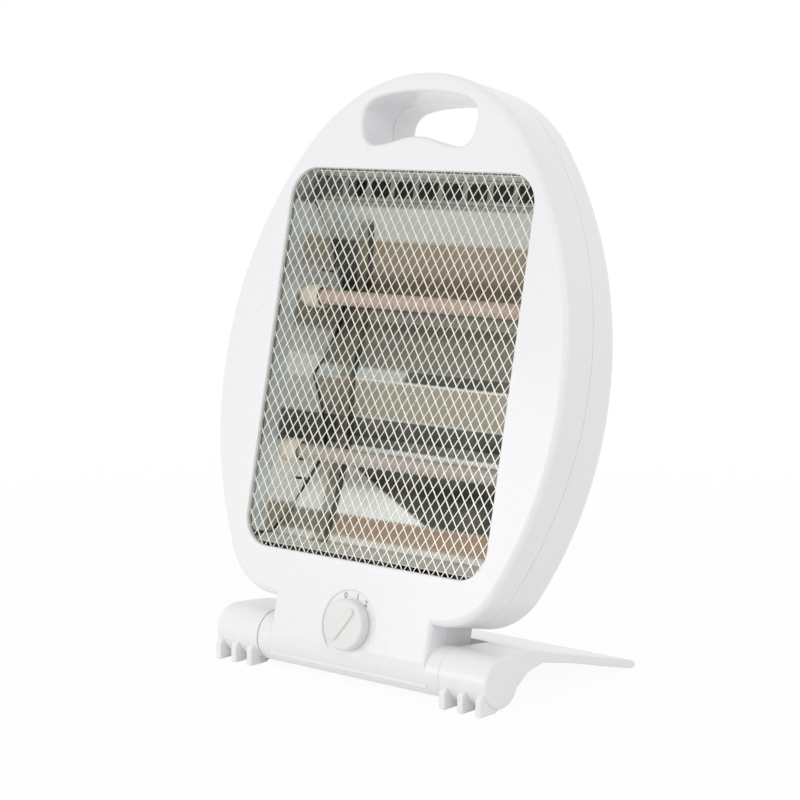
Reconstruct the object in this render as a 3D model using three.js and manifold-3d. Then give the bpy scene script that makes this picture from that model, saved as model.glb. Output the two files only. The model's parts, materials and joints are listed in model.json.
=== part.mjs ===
// A two-tube quartz heater: an egg-shaped casing with a carrying handle, hinged on a low stand.
// Millimetres, +X to the right as seen from the front, -Y forward, +Z up, floor at Z = 0.
// The casing is modelled upright in its own frame, whose origin is on the tilt axis:
// x right, "forward" = -y, "height" = z, and is then leaned back as a whole.
import * as THREE from 'three';
import { mergeVertices } from 'three/addons/utils/BufferGeometryUtils.js';
import { ParametricGeometry } from 'three/addons/geometries/ParametricGeometry.js';
import Module from 'manifold-3d';

const wasm = await Module();
wasm.setup();

// ---------------------------------------------------------------- driving dimensions
const GAP = 0.3;                  // between parts that rest on or are cut by each other
const RUN_GAP = 0.45;             // between parts that turn against each other

const axisHeight = 18.09;         // tilt axis above the floor
const leanAngle = 12.15;          // degrees that the casing leans back

// casing outline, seen from the front
const halfWidth = 140.5;
const widestHeight = 172;
const cornerRadius = 45;
const casingBottom = 27;
const casingTop = 368.5;
const sideRadius = casingTop - widestHeight + 53.5;     // keeps room for a round top

// casing section, seen from the side
const faceDepth = 16.6;           // front face, forward of the axis
const rearDepth = 39;             // rear face, behind the axis
const wall = 2.4;
const lowerFrontRadius = 4.8;
const upperFrontRadius = 6.8;
const roundingRise = 30;          // height over which the front rounding grows, from the handle up
const rearRadius = 12;
const seamTilt = 2.6;             // degrees that the joint of the two shells leans back

// neck and hinge bar under the casing
const neckHalfWidth = 65;
const neckRearDepth = 25;
const neckOverlap = 18;           // how far the neck reaches up into the casing
const barRadius = 16;
const barrelInnerX = 76;
const journalRadius = 8;
const journalLength = 14;

// handle hole
const holeHalfWidth = 46.5;
const holeTop = casingTop - 13;
const holeBottom = holeTop - 34.7;
const holeBump = 6;
const holeEndRadius = 15;

// grille opening
const sideBorder = 41;            // face left beside the opening, at the widest height
const footBorder = 29.9;          // face left under the opening
const headBorder = 15.9;          // face left between the opening and the handle hole
const openingWidth = 2 * (halfWidth - sideBorder);
const openingFoot = casingBottom + footBorder;
const openingTop = holeBottom - headBorder;
const openingHeight = openingTop - openingFoot;
const openingCentre = (openingTop + openingFoot) / 2;
const openingRadius = 20;
const meshThickness = 1;
const meshMargin = 4;
const meshCellWidth = 22.1;
const meshCellHeight = 31;
const strandWidth = 1.5;
const frameMargin = 4.5;
const frameThickness = 1.5;

// reflector and tubes
const sheet = 0.8;
const ridgeHeight = openingCentre - 8.6;
const ridgeDepth = 21;
const troughDepth = 35;
const troughRimDepth = 7.5;
const upperReach = openingHeight / 2 - 12;
const lowerReach = openingHeight / 2 - 17;
const recessHalfWidth = openingWidth / 2 + 0.4;     // polished side walls
const recessBackDepth = 1.5;
const endPlateInnerX = recessHalfWidth - 15.1;      // end plates meet the trough bottom here
const tubeMargin = 72.6;          // between a tube's axis and the edge of the opening
const tubeSpacing = openingHeight - 2 * tubeMargin;
const tubeAxisDepth = 12;
const tubeRadius = 5;
const tubeWall = 1;
const capRadius = 7.7;
const capInside = 11.2;           // length of a ceramic cap inside its end plate
const capOutside = 8.5;
const capSeatDepth = 7.5;         // how far a tube goes into its cap
const coilRadius = 2.6;
const coilWireRadius = 0.45;
const coilCurls = 12;
const coilPitch = 11.4;
const ventCount = 9;
const ventWidth = 14;
const ventHeight = 9;
const ventPitch = 20;

// dial, knob and switch
const dialHeight = 17.3;
const dialRadius = 21.6;
const dialDepth = 1.2;
const knobRadius = 16.2;
const knobThickness = 6.6;
const knobEdge = 1.8;
const knobCrown = 0.6;            // rise of the knob's face in the middle
const knobAngle = -35;            // degrees, pointer seen from the front, clockwise negative
const ridgeWidth = 5;
const ridgeRise = 1.6;
const shaftRadius = 3;
const switchSize = 27;
const switchDepth = 15;

// rear vents and cord gland
const rearVentPitchX = 30;
const rearVentPitchZ = 14;
const rearVentTop = holeBottom - 28.8;
const rearVentWidth = 24;
const rearVentHeight = 5;
const glandRadius = 6.5;
const glandX = 0;
const glandHeight = 50;
const glandFlange = 2;
const glandSleeve = 7;
const glandNut = 4;
const cordRadius = 3.4;

// parts against the inside of the rear shell
const terminal = { x: 0, z: 68, width: 40, height: 12, depth: 12, screw: 2.2 };
const tipSwitch = { x: 26, z: 50, width: 15, height: 19, depth: 13, wall: 1.5, pin: 1, bob: 2.6, arm: 8 };
const cutoutRadius = 8;
const cutoutDepth = 25.2;
const cutoutHeight = 8;
const cutoutTab = 5;

// stand
const barrelRadius = 16.31;
const barrelOuterX = 112.6;
const finCount = 3;
const finPitch = 13.9;
const finWidth = 4.5;
const finReach = 19;
const finSetback = 4.1;           // outermost fin, in from the end of its barrel
const finTop = 13;
const standRearY = 141.4;
const plateThickness = 5.6;
const shoulder = { reach: 32.6, height: 31.5 };     // where an arm leaves its barrel
const slope = { reach: 72.4, height: 21.5 };
const shelf = { reach: 100, height: 14.4 };
const archTop = 22.1;             // underside of the stand between the arms and the plate
const rearTipHeight = 5.6;
const swingRoom = 9;              // between the neck's back and the middle of the stand

// fasteners
const screwRadius = 1.6;
const screwHeadRadius = 3.4;
const screwHeadHeight = 2.2;
const crossLength = 4.8;
const crossWidth = 1;
const bossRadius = 5.6;
const reflectorPostRadius = 4.2;
const wellRadius = 4;
const wireRadius = 1.3;

// ---------------------------------------------------------------- materials
const material = (color, roughness, metalness = 0) =>
  new THREE.MeshStandardMaterial({ color, roughness, metalness });
const whitePlastic = material(0xececf0, 0.3);
const standPlastic = material(0xeae8e6, 0.32);
const knobPlastic = material(0xe9e9e8, 0.3);
const polishedMetal = material(0xd4d8d8, 0.12, 1);
const meshMetal = material(0xe3e6e0, 0.3, 1);
const frameMetal = material(0xb9bdbc, 0.4, 1);
const quartz = material(0xa08078, 0.35);
const coilMetal = material(0x6d6259, 0.45, 1);
const ceramic = material(0xe0d6bf, 0.7);
const blackPlastic = material(0x222224, 0.5);
const screwMetal = material(0x9a9c9e, 0.35, 1);
const wireSleeve = material(0xd9d6cc, 0.6);
const brass = material(0xb89b58, 0.35, 1);

// ---------------------------------------------------------------- solids
const DEG = Math.PI / 180;

// A closed three.js geometry as a manifold solid, ready to be joined and cut.
function toSolid(geometry) {
  const bare = geometry.clone();
  bare.deleteAttribute('normal');
  bare.deleteAttribute('uv');
  const merged = mergeVertices(bare, 1e-4);
  const index = merged.index.array;
  const triangles = [];
  for (let i = 0; i < index.length; i += 3) {
    const [a, b, c] = [index[i], index[i + 1], index[i + 2]];
    if (a !== b && b !== c && c !== a) triangles.push(a, b, c);
  }
  const solidOf = (triVerts) => new wasm.Manifold(new wasm.Mesh({
    numProp: 3,
    vertProperties: new Float32Array(merged.attributes.position.array),
    triVerts: new Uint32Array(triVerts),
  }));
  const solid = solidOf(triangles);
  // A profile drawn the other way round gives faces that point inwards: they are turned about.
  return solid.volume() < 0 ? solidOf(triangles.reverse()) : solid;
}

function toGeometry(solid) {
  const mesh = solid.getMesh();
  const geometry = new THREE.BufferGeometry();
  const positions = [];
  for (let i = 0; i < mesh.vertProperties.length; i += mesh.numProp) {
    positions.push(...mesh.vertProperties.slice(i, i + 3));
  }
  geometry.setAttribute('position', new THREE.Float32BufferAttribute(positions, 3));
  geometry.setIndex([...mesh.triVerts]);
  geometry.computeVertexNormals();
  return geometry;
}

const join = (solids) => solids.reduce((sum, solid) => sum.add(solid));

const box = (x0, x1, y0, y1, z0, z1) =>
  toSolid(new THREE.BoxGeometry(x1 - x0, y1 - y0, z1 - z0)
    .translate((x0 + x1) / 2, (y0 + y1) / 2, (z0 + z1) / 2));

// Outline in (x, height), extruded forward from depth `from` to depth `to` (forward positive).
const extrudeForward = (shape, from, to, curveSegments = 12) =>
  new THREE.ExtrudeGeometry(shape, { depth: to - from, bevelEnabled: false, curveSegments })
    .rotateX(Math.PI / 2).translate(0, -from, 0);

// Profile in (forward, height), extruded along x from x0 to x1.
const sideways = new THREE.Matrix4().makeBasis(
  new THREE.Vector3(0, -1, 0), new THREE.Vector3(0, 0, 1), new THREE.Vector3(-1, 0, 0));
const extrudeAcross = (shape, x0, x1, curveSegments = 12) =>
  new THREE.ExtrudeGeometry(shape, { depth: x1 - x0, bevelEnabled: false, curveSegments })
    .applyMatrix4(sideways).translate(x1, 0, 0);

// Plan in (x, forward), extruded upward from z0 to z1.
const extrudeUp = (shape, z0, z1) =>
  new THREE.ExtrudeGeometry(shape, { depth: z1 - z0, bevelEnabled: false })
    .applyMatrix4(new THREE.Matrix4().makeScale(1, -1, -1)).translate(0, 0, z1);

// Round bar along x, along the depth or upward.
const barX = (radius, x0, x1, y = 0, z = 0, sides = 24) =>
  new THREE.CylinderGeometry(radius, radius, x1 - x0, sides)
    .rotateZ(Math.PI / 2).translate((x0 + x1) / 2, y, z);
const barForward = (radius, from, to, x, height, sides = 12) =>
  new THREE.CylinderGeometry(radius, radius, to - from, sides)
    .translate(x, -(from + to) / 2, height);

// ---------------------------------------------------------------- casing outline and shells
const smooth = (t) => t * t * (3 - 2 * t);
const clamp01 = (t) => Math.min(1, Math.max(0, t));

// Egg outline: a flat bottom, two corner arcs, two long side arcs and one top arc, all tangent.
const sideCentreX = halfWidth - sideRadius;
const topRise = casingTop - widestHeight;
const topRadius = (sideRadius ** 2 - sideCentreX ** 2 - topRise ** 2) / (2 * (sideRadius - topRise));
const topCentre = casingTop - topRadius;
const cornerCentre = casingBottom + cornerRadius;
const cornerCentreX = sideCentreX
  + Math.sqrt((sideRadius - cornerRadius) ** 2 - (widestHeight - cornerCentre) ** 2);
const topTangent = Math.atan2(topCentre - widestHeight, -sideCentreX);
const cornerTangent = Math.atan2(cornerCentre - widestHeight, cornerCentreX - sideCentreX);

// Right half of the outline from bottom centre to top centre, as arcs of one shape.
function eggShape(inset = 0) {
  const arcs = [
    [cornerCentreX, cornerCentre, cornerRadius - inset, -Math.PI / 2, cornerTangent],
    [sideCentreX, widestHeight, sideRadius - inset, cornerTangent, topTangent],
    [0, topCentre, topRadius - inset, topTangent, Math.PI - topTangent],
    [-sideCentreX, widestHeight, sideRadius - inset, Math.PI - topTangent, Math.PI - cornerTangent],
    [-cornerCentreX, cornerCentre, cornerRadius - inset, Math.PI - cornerTangent, 1.5 * Math.PI],
  ];
  const shape = new THREE.Shape();
  shape.moveTo(-cornerCentreX, casingBottom + inset);
  for (const [x, z, radius, start, end] of arcs) shape.absarc(x, z, radius, start, end, false);
  return shape;
}

const frontRadiusAt = (height) => lowerFrontRadius
  + (upperFrontRadius - lowerFrontRadius) * smooth(clamp01((height - holeBottom) / roundingRise));

// The full egg-shaped body: round it goes along the outline, and across it from the centre of the
// face over the rounded edges to the centre of the back. `inset` shrinks it all round.
const OUTLINE_STEPS = 48;
const EDGE_STEPS = 3;
function eggBody(inset = 0) {
  const outline = eggShape(0).getSpacedPoints(OUTLINE_STEPS);
  const centre = new THREE.Vector2(0, openingCentre);
  const rings = 2 * (EDGE_STEPS + 1);
  const surface = (u, v, target) => {
    const step = Math.round(u * OUTLINE_STEPS) % OUTLINE_STEPS;
    const ring = Math.round(v * (rings + 1)) - 1;
    const point = outline[step];
    const before = outline[(step + OUTLINE_STEPS - 1) % OUTLINE_STEPS];
    const after = outline[(step + 1) % OUTLINE_STEPS];
    const inward = new THREE.Vector2(before.y - after.y, after.x - before.x).normalize();
    if (ring < 0 || ring >= rings) {
      target.set(centre.x, ring < 0 ? inset - faceDepth : rearDepth - inset, centre.y);
      return;
    }
    const front = ring <= EDGE_STEPS;
    const angle = (front ? ring : ring - EDGE_STEPS - 1) / EDGE_STEPS * Math.PI / 2;
    const radius = Math.max(front ? frontRadiusAt(point.y) : rearRadius, inset + 1);
    const side = (radius - inset) * (1 - (front ? Math.sin(angle) : Math.cos(angle)));
    const deep = (radius - inset) * (1 - (front ? Math.cos(angle) : Math.sin(angle)));
    const y = front ? inset - faceDepth + deep : rearDepth - inset - deep;
    target.set(point.x + inward.x * (inset + side), y, point.y + inward.y * (inset + side));
  };
  return toSolid(new ParametricGeometry(surface, OUTLINE_STEPS, rings + 1));
}

// Neck under the casing and the hinge bar across it.
function neckBody(inset = 0) {
  const neck = new THREE.Shape();
  neck.moveTo(faceDepth - inset, casingBottom + neckOverlap);
  neck.lineTo(faceDepth - inset, 5);
  neck.lineTo(barRadius - inset - 1, -4);
  neck.lineTo(0, -barRadius + inset + 5);
  neck.lineTo(inset - neckRearDepth + 6, 4);
  neck.lineTo(inset - neckRearDepth, 10);
  neck.lineTo(inset - neckRearDepth, casingBottom + neckOverlap);
  const neckX = neckHalfWidth - inset;
  const barX1 = barrelInnerX - RUN_GAP - inset;
  return join([
    toSolid(extrudeAcross(neck, -neckX, neckX)),
    toSolid(barX(barRadius - inset, -barX1, barX1, 0, 0, 28)),
  ]);
}

const casingBody = join([eggBody(), neckBody()]);
const cavityBody = join([eggBody(wall), neckBody(wall)]);
const inCavity = (solid) => solid.intersect(join([eggBody(wall + GAP), neckBody(wall + GAP)]));

// Half space in front of (or behind) the joint of the shells, which leans back about the axis.
const FAR = 500;
function seamHalf(front) {
  const half = front ? new THREE.BoxGeometry(2 * FAR, FAR, 2 * FAR).translate(0, -FAR / 2, 0)
    : new THREE.BoxGeometry(2 * FAR, FAR, 2 * FAR).translate(0, FAR / 2 + GAP, 0);
  return toSolid(half.rotateX(-seamTilt * DEG));
}

const seamDepthAt = (height) => height * Math.tan(seamTilt * DEG);

// Handle hole: a kidney with a soft bump in the middle of its lower edge.
function holeShape(grow = 0) {
  const [w, low, high] = [holeHalfWidth + grow, holeBottom - grow, holeTop + grow];
  const shape = new THREE.Shape();
  shape.moveTo(0, low + holeBump);
  shape.bezierCurveTo(0.3 * w, low + holeBump, 0.45 * w, low, 0.75 * w, low);
  shape.bezierCurveTo(0.92 * w, low, w, low + 0.5 * holeEndRadius, w, low + 1.2 * holeEndRadius);
  shape.bezierCurveTo(w, high - 0.6 * holeEndRadius, 0.9 * w, high - 5, 0.68 * w, high - 3);
  shape.bezierCurveTo(0.45 * w, high - 0.7, 0.2 * w, high, 0, high);
  shape.bezierCurveTo(-0.2 * w, high, -0.45 * w, high - 0.7, -0.68 * w, high - 3);
  shape.bezierCurveTo(-0.9 * w, high - 5, -w, high - 0.6 * holeEndRadius, -w, low + 1.2 * holeEndRadius);
  shape.bezierCurveTo(-w, low + 0.5 * holeEndRadius, -0.92 * w, low, -0.75 * w, low);
  shape.bezierCurveTo(-0.45 * w, low, -0.3 * w, low + holeBump, 0, low + holeBump);
  return shape;
}
const handleHole = toSolid(extrudeForward(holeShape(), -rearDepth - 5, faceDepth + 5, 4));
const handleCollar = toSolid(extrudeForward(holeShape(wall), -rearDepth - 5, faceDepth + 5, 4))
  .intersect(casingBody);

function roundedRect(width, height, radius, centre) {
  const shape = new THREE.Shape();
  const [x, z] = [width / 2, height / 2];
  shape.moveTo(-x + radius, centre - z);
  shape.absarc(x - radius, centre - z + radius, radius, -Math.PI / 2, 0, false);
  shape.absarc(x - radius, centre + z - radius, radius, 0, Math.PI / 2, false);
  shape.absarc(-x + radius, centre + z - radius, radius, Math.PI / 2, Math.PI, false);
  shape.absarc(-x + radius, centre - z + radius, radius, Math.PI, 1.5 * Math.PI, false);
  return shape;
}
const openingShape = (grow = 0) => roundedRect(
  openingWidth + 2 * grow, openingHeight + 2 * grow, openingRadius + grow, openingCentre);

// Screw places, in (x, height).
const handleScrew = { out: 19.5, up: 5.2 };
const sideScrew = { in: 19.5, down: 30.9 };
const neckScrew = { in: 15, up: 14 };
const casingScrewPlaces = [
  [holeHalfWidth + handleScrew.out, holeBottom + handleScrew.up],
  [halfWidth - sideScrew.in, openingCentre - sideScrew.down],
  [neckHalfWidth - neckScrew.in, casingBottom + neckScrew.up],
];
const mirrored = (places) => places.flatMap(([x, z]) => [[-x, z], [x, z]]);
const casingScrews = mirrored(casingScrewPlaces);
const earReach = 9.1;             // ear screw beyond the side wall
const earAbove = 12.3;            // upper ear screw above the upper tube
const earBelow = 16.9;            // lower ear screw below the lower tube
const earPlay = 5;                // ear beyond its screw
const earHalfHeight = 8;
const reflectorScrews = mirrored([
  [recessHalfWidth + earReach, ridgeHeight + tubeSpacing / 2 + earAbove],
  [recessHalfWidth + earReach, ridgeHeight - tubeSpacing / 2 - earBelow],
]);
const screwWeb = 3;               // plastic under a screw head
const screwBite = 10;             // length of thread in the post beyond the seam
const earDepth = 2;               // reflector ears, behind the axis plane

function frontCasing() {
  const posts = casingScrews.map(([x, z]) => {
    const from = -seamDepthAt(z);
    const post = toSolid(barForward(bossRadius, from - 2, faceDepth - wall / 2, x, z));
    const bore = toSolid(barForward(screwRadius + GAP, from - 5, from + screwBite + 1, x, z, 12));
    return [post, bore];
  });
  const reflectorPosts = reflectorScrews.map(([x, z]) => {
    const post = toSolid(barForward(
      reflectorPostRadius, -(earDepth - sheet - GAP), faceDepth - wall / 2, x, z));
    const bore = toSolid(barForward(screwRadius + GAP, -earDepth - 1, screwBite - 2, x, z, 12));
    return [post, bore];
  });
  const all = [...posts, ...reflectorPosts];
  return casingBody.subtract(cavityBody)
    .add(handleCollar)
    .add(join(all.map(([post]) => post)).intersect(casingBody))
    .subtract(join(all.map(([, bore]) => bore)))
    .subtract(handleHole)
    .subtract(toSolid(extrudeForward(openingShape(), faceDepth - 2 * wall, faceDepth + 5, 6)))
    .subtract(toSolid(barForward(dialRadius, faceDepth - dialDepth, faceDepth + 5, 0, dialHeight, 32)))
    .subtract(toSolid(barForward(shaftRadius + GAP, 0, faceDepth + 5, 0, dialHeight, 20)))
    .subtract(journalBores())
    .intersect(seamHalf(true));
}

const journalBores = () => toSolid(
  barX(journalRadius + RUN_GAP, -barrelInnerX - 1, barrelInnerX + 1, 0, 0, 24))
  .subtract(box(-barrelInnerX + 2 * wall, barrelInnerX - 2 * wall, -FAR, FAR, -FAR, FAR));

function rearCasing() {
  const bosses = casingScrews.map(([x, z]) => {
    const seam = -seamDepthAt(z);
    const boss = toSolid(barForward(bossRadius, -rearDepth, seam - 0.05, x, z));
    const well = toSolid(barForward(wellRadius, -rearDepth - 5, seam - screwWeb - GAP, x, z));
    const bore = toSolid(barForward(screwRadius + GAP, -rearDepth, seam + 5, x, z, 12));
    return [boss, well.add(bore)];
  });
  const slots = [];
  for (const row of [0, 1, 2]) {
    for (const column of [-2, -1, 0, 1, 2]) {
      const x = column * rearVentPitchX;
      const z = rearVentTop - row * rearVentPitchZ;
      slots.push(box(x - rearVentWidth / 2, x + rearVentWidth / 2, rearDepth - 2 * wall, rearDepth + 5,
        z - rearVentHeight / 2, z + rearVentHeight / 2));
    }
  }
  const glandBore = toSolid(barForward(
    glandRadius + GAP, -rearDepth - 5, -rearDepth + 3 * wall, glandX, glandHeight));
  return casingBody.subtract(cavityBody)
    .add(handleCollar)
    .add(join(bosses.map(([boss]) => boss)).intersect(casingBody))
    .subtract(join(bosses.map(([, hole]) => hole)))
    .subtract(handleHole)
    .subtract(join(slots))
    .subtract(glandBore)
    .subtract(journalBores())
    .intersect(seamHalf(false));
}

// ---------------------------------------------------------------- grille
const meshFront = faceDepth - wall - GAP;
const meshBack = meshFront - meshThickness;
const frameFront = meshBack - GAP;
const frameBack = frameFront - frameThickness;

// Expanded-metal net: two families of crossing strands inside a narrow flat border.
function grilleMesh() {
  const strands = [];
  const length = openingHeight + openingWidth;
  const angle = Math.atan2(meshCellHeight, meshCellWidth);
  const count = Math.ceil(openingWidth / meshCellWidth / 2 + openingHeight / meshCellHeight / 2);
  for (const lean of [angle, Math.PI - angle]) {
    for (let i = -count; i <= count; i += 1) {
      const strand = new THREE.BoxGeometry(length, meshThickness, strandWidth)
        .rotateY(-lean).translate(i * meshCellWidth, -(meshFront + meshBack) / 2, openingCentre);
      strands.push(toSolid(strand));
    }
  }
  const sheetBody = toSolid(extrudeForward(openingShape(meshMargin), meshBack, meshFront, 5));
  const hole = toSolid(extrudeForward(openingShape(-0.2), meshBack - 1, meshFront + 1, 5));
  return inCavity(join(strands).intersect(sheetBody).add(sheetBody.subtract(hole)));
}

function grilleFrame() {
  const outer = toSolid(extrudeForward(openingShape(frameMargin), frameBack, frameFront, 6));
  const inner = toSolid(extrudeForward(openingShape(0.4), frameBack - 1, frameFront + 1, 6));
  return inCavity(outer.subtract(inner));
}

// ---------------------------------------------------------------- reflector
// Points on the centre line of one trough, as (share of its reach, depth behind the axis).
const troughLine = [
  [0, ridgeDepth], [0.1, ridgeDepth + 4.5], [0.22, ridgeDepth + 9.5], [0.35, troughDepth - 0.5],
  [0.46, troughDepth - 0.3], [0.54, troughDepth - 3], [0.65, troughDepth - 8],
  [0.83, troughDepth - 16], [1, troughRimDepth],
];
const upperTrough = troughLine.map(([share, depth]) =>
  new THREE.Vector2(-depth, ridgeHeight + share * upperReach));
const lowerTrough = troughLine.slice(1).map(([share, depth]) =>
  new THREE.Vector2(-depth, ridgeHeight - share * lowerReach)).reverse();
const recessFront = frameBack - GAP;
const flangeTop = openingTop - 2;
const lipGap = 4;                 // dark slit under the reflector, along the foot of the opening
const reflectorLine = [
  new THREE.Vector2(recessFront, openingFoot + lipGap),
  ...lowerTrough, ...upperTrough,
  new THREE.Vector2(-troughRimDepth + 4, ridgeHeight + upperReach + 3),
  new THREE.Vector2(-troughRimDepth + 4, flangeTop),
  new THREE.Vector2(recessFront, flangeTop + 1),
];

// A folded strip of sheet metal along a polyline, as a closed outline.
function sheetShape(line, thickness) {
  const offset = (side) => line.map((point, i) => {
    const a = line[Math.max(0, i - 1)];
    const b = line[Math.min(line.length - 1, i + 1)];
    const before = point.clone().sub(a).normalize();
    const after = b.clone().sub(point).normalize();
    const along = before.clone().add(after).normalize();
    const stretch = 1 / Math.max(0.5, along.dot(i === 0 ? after : before));
    return new THREE.Vector2(point.x - along.y * side * stretch, point.y + along.x * side * stretch);
  });
  return new THREE.Shape([...offset(thickness / 2), ...offset(-thickness / 2).reverse()]);
}

// Half width of the recess at a depth: straight side walls in front, slanted end plates behind.
const slant = (recessHalfWidth - endPlateInnerX) / (troughDepth - recessBackDepth);
const plateXAt = (depth) => recessHalfWidth - Math.max(0, depth - recessBackDepth) * slant;

function recessPlan(inset) {
  const deep = troughDepth + 4;
  const x = plateXAt(deep) - inset;
  return new THREE.Shape([
    new THREE.Vector2(-recessHalfWidth + inset, recessFront + 5),
    new THREE.Vector2(-recessHalfWidth + inset, -recessBackDepth),
    new THREE.Vector2(-x, -deep),
    new THREE.Vector2(x, -deep),
    new THREE.Vector2(recessHalfWidth - inset, -recessBackDepth),
    new THREE.Vector2(recessHalfWidth - inset, recessFront + 5),
  ]);
}

function reflector() {
  const folded = toSolid(extrudeAcross(sheetShape(reflectorLine, sheet), -recessHalfWidth, recessHalfWidth));
  const inside = toSolid(extrudeUp(recessPlan(sheet / 2 + GAP), 0, casingTop));
  const slots = [];
  const slotHeight = (ridgeHeight + upperReach + 3 + flangeTop) / 2;
  for (let i = 0; i < ventCount; i += 1) {
    const x = (i - (ventCount - 1) / 2) * ventPitch;
    slots.push(box(x - ventWidth / 2, x + ventWidth / 2, 0, 2 * troughRimDepth,
      slotHeight - ventHeight / 2, slotHeight + ventHeight / 2));
  }
  const cutoutHole = toSolid(barForward(screwRadius, -troughDepth - 5, 0, 0, ridgeHeight, 12));
  return inCavity(folded.intersect(inside).subtract(join(slots)).subtract(cutoutHole));
}

const tubeHeights = { lower: ridgeHeight - tubeSpacing / 2, upper: ridgeHeight + tubeSpacing / 2 };
const capPlateX = plateXAt(tubeAxisDepth);

// Side wall of the recess, slanted end plate and two ears, folded from one sheet.
function reflectorEnd(side) {
  const deepX = plateXAt(troughDepth);
  const bend = new THREE.Vector2(side * recessHalfWidth, -recessBackDepth);
  const wallAndPlate = sheetShape([
    new THREE.Vector2(side * recessHalfWidth, recessFront), bend,
    new THREE.Vector2(side * deepX, -troughDepth),
  ], sheet);
  const foot = ridgeHeight - lowerReach;
  const head = ridgeHeight + upperReach;
  const folded = toSolid(extrudeUp(wallAndPlate, foot, head));
  const frontRegion = new THREE.Shape([
    new THREE.Vector2(recessFront + 5, foot), ...lowerTrough, ...upperTrough,
    new THREE.Vector2(recessFront + 5, head),
  ].map((point) => new THREE.Vector2(point.x + sheet / 2 + GAP, point.y)));
  const ears = reflectorScrews.filter(([x]) => Math.sign(x) === side).map(([x, z]) => {
    const [x0, x1] = [side * recessHalfWidth, x + side * earPlay].sort((a, b) => a - b);
    return box(x0, x1, earDepth - sheet, earDepth, z - earHalfHeight, z + earHalfHeight)
      .subtract(toSolid(barForward(screwRadius + GAP, -20, 20, x, z, 12)));
  });
  const capHoles = Object.values(tubeHeights).map((z) =>
    toSolid(barX(capRadius + GAP, -FAR, FAR, tubeAxisDepth, z)));
  return folded
    .intersect(toSolid(extrudeAcross(frontRegion, -FAR, FAR)))
    .add(join(ears))
    .subtract(join(capHoles));
}

// ---------------------------------------------------------------- tubes, coils and caps
const capFaceX = capPlateX - capInside;
const capEndX = capPlateX + capOutside;
const tubeEndX = capFaceX + capSeatDepth;
const leadHole = wireRadius + 3 * GAP;

// Ring profile turned about x: [radius, x] points of a closed outline.
const turnedX = (points, sides = 24) => new THREE.LatheGeometry(
  [...points, points[0]].map(([r, x]) => new THREE.Vector2(r, x)), sides).rotateZ(-Math.PI / 2);

const quartzTube = () => toSolid(turnedX([
  [tubeRadius - tubeWall, -tubeEndX], [tubeRadius, -tubeEndX],
  [tubeRadius, tubeEndX], [tubeRadius - tubeWall, tubeEndX],
]));

function ceramicCap(side) {
  const bore = tubeRadius + GAP;
  const bottom = tubeEndX + GAP;
  return toSolid(turnedX([
    [bore, capFaceX], [capRadius - 1, capFaceX], [capRadius, capFaceX + 1], [capRadius, capEndX - 1],
    [capRadius - 1, capEndX], [leadHole, capEndX], [leadHole, bottom], [bore, bottom],
  ].map(([r, x]) => [r, side * x])));
}

// Heating coil: straight tails on the axis, then a helix whose radius opens and closes smoothly.
class CoilCurve extends THREE.Curve {
  constructor(length, tail) {
    super();
    Object.assign(this, { length, tail });
  }

  getPoint(t, target = new THREE.Vector3()) {
    const x = (t - 0.5) * (this.length + 2 * this.tail);
    const along = Math.abs(x) - this.length / 2;
    const open = smooth(clamp01(-along / coilPitch));
    const turn = 2 * Math.PI * x / coilPitch;
    return target.set(x, coilRadius * open * Math.cos(turn), coilRadius * open * Math.sin(turn));
  }
}
const coilLength = coilCurls * coilPitch;
const coilTail = tubeEndX - coilLength / 2;
const coilCurve = new CoilCurve(coilLength, coilTail);
const coilSteps = Math.round(8 * (coilLength + 2 * coilTail) / coilPitch);

// Least gap of the coil's wire to itself, on points a whole curl or more apart.
function leastCoilGap() {
  const points = coilCurve.getPoints(coilSteps);
  let least = Infinity;
  for (let i = 0; i < points.length; i += 1) {
    for (let j = i + 6; j < points.length; j += 1) {
      least = Math.min(least, points[i].distanceTo(points[j]) - 2 * coilWireRadius);
    }
  }
  return least;
}
console.log(`least gap between coil curls: ${leastCoilGap().toFixed(2)} mm`);

const circle = (radius, sides) => new THREE.Shape(Array.from({ length: sides }, (_, i) => {
  const angle = 2 * Math.PI * i / sides;
  return new THREE.Vector2(radius * Math.cos(angle), radius * Math.sin(angle));
}));
const heatingCoil = () => toSolid(new THREE.ExtrudeGeometry(circle(coilWireRadius, 5), {
  steps: coilSteps, extrudePath: coilCurve, bevelEnabled: false,
}));

// ---------------------------------------------------------------- knob and switch
const dialFloor = faceDepth - dialDepth;
const knobBack = dialFloor + RUN_GAP;
const knobFront = knobBack + knobThickness;

function knob() {
  const disc = toSolid(new THREE.LatheGeometry([
    [0, 0], [knobRadius, 0], [knobRadius, knobThickness - knobEdge],
    [knobRadius - knobEdge / 3, knobThickness - knobEdge / 3],
    [knobRadius - knobEdge, knobThickness], [0, knobThickness + knobCrown],
  ].map(([r, z]) => new THREE.Vector2(r, z)), 32));
  const grip = new THREE.Shape();
  const [w, l] = [ridgeWidth / 2, knobRadius - knobEdge - 2];
  grip.moveTo(-w, -l + w);
  grip.absarc(0, -l + w, w, Math.PI, 2 * Math.PI, false);
  grip.absarc(0, l - w, w, 0, Math.PI, false);
  const ridge = toSolid(new THREE.ExtrudeGeometry(grip, {
    depth: ridgeRise + 1, bevelEnabled: false, curveSegments: 6,
  }).rotateX(-Math.PI / 2).translate(0, knobThickness - 1, 0));
  const socket = toSolid(new THREE.CylinderGeometry(shaftRadius + 0.05, shaftRadius + 0.05, 5, 20)
    .translate(0, 2, 0));
  return disc.add(ridge).subtract(socket);
}

const switchFront = faceDepth - wall - GAP;
const switchBack = switchFront - switchDepth;

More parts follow.
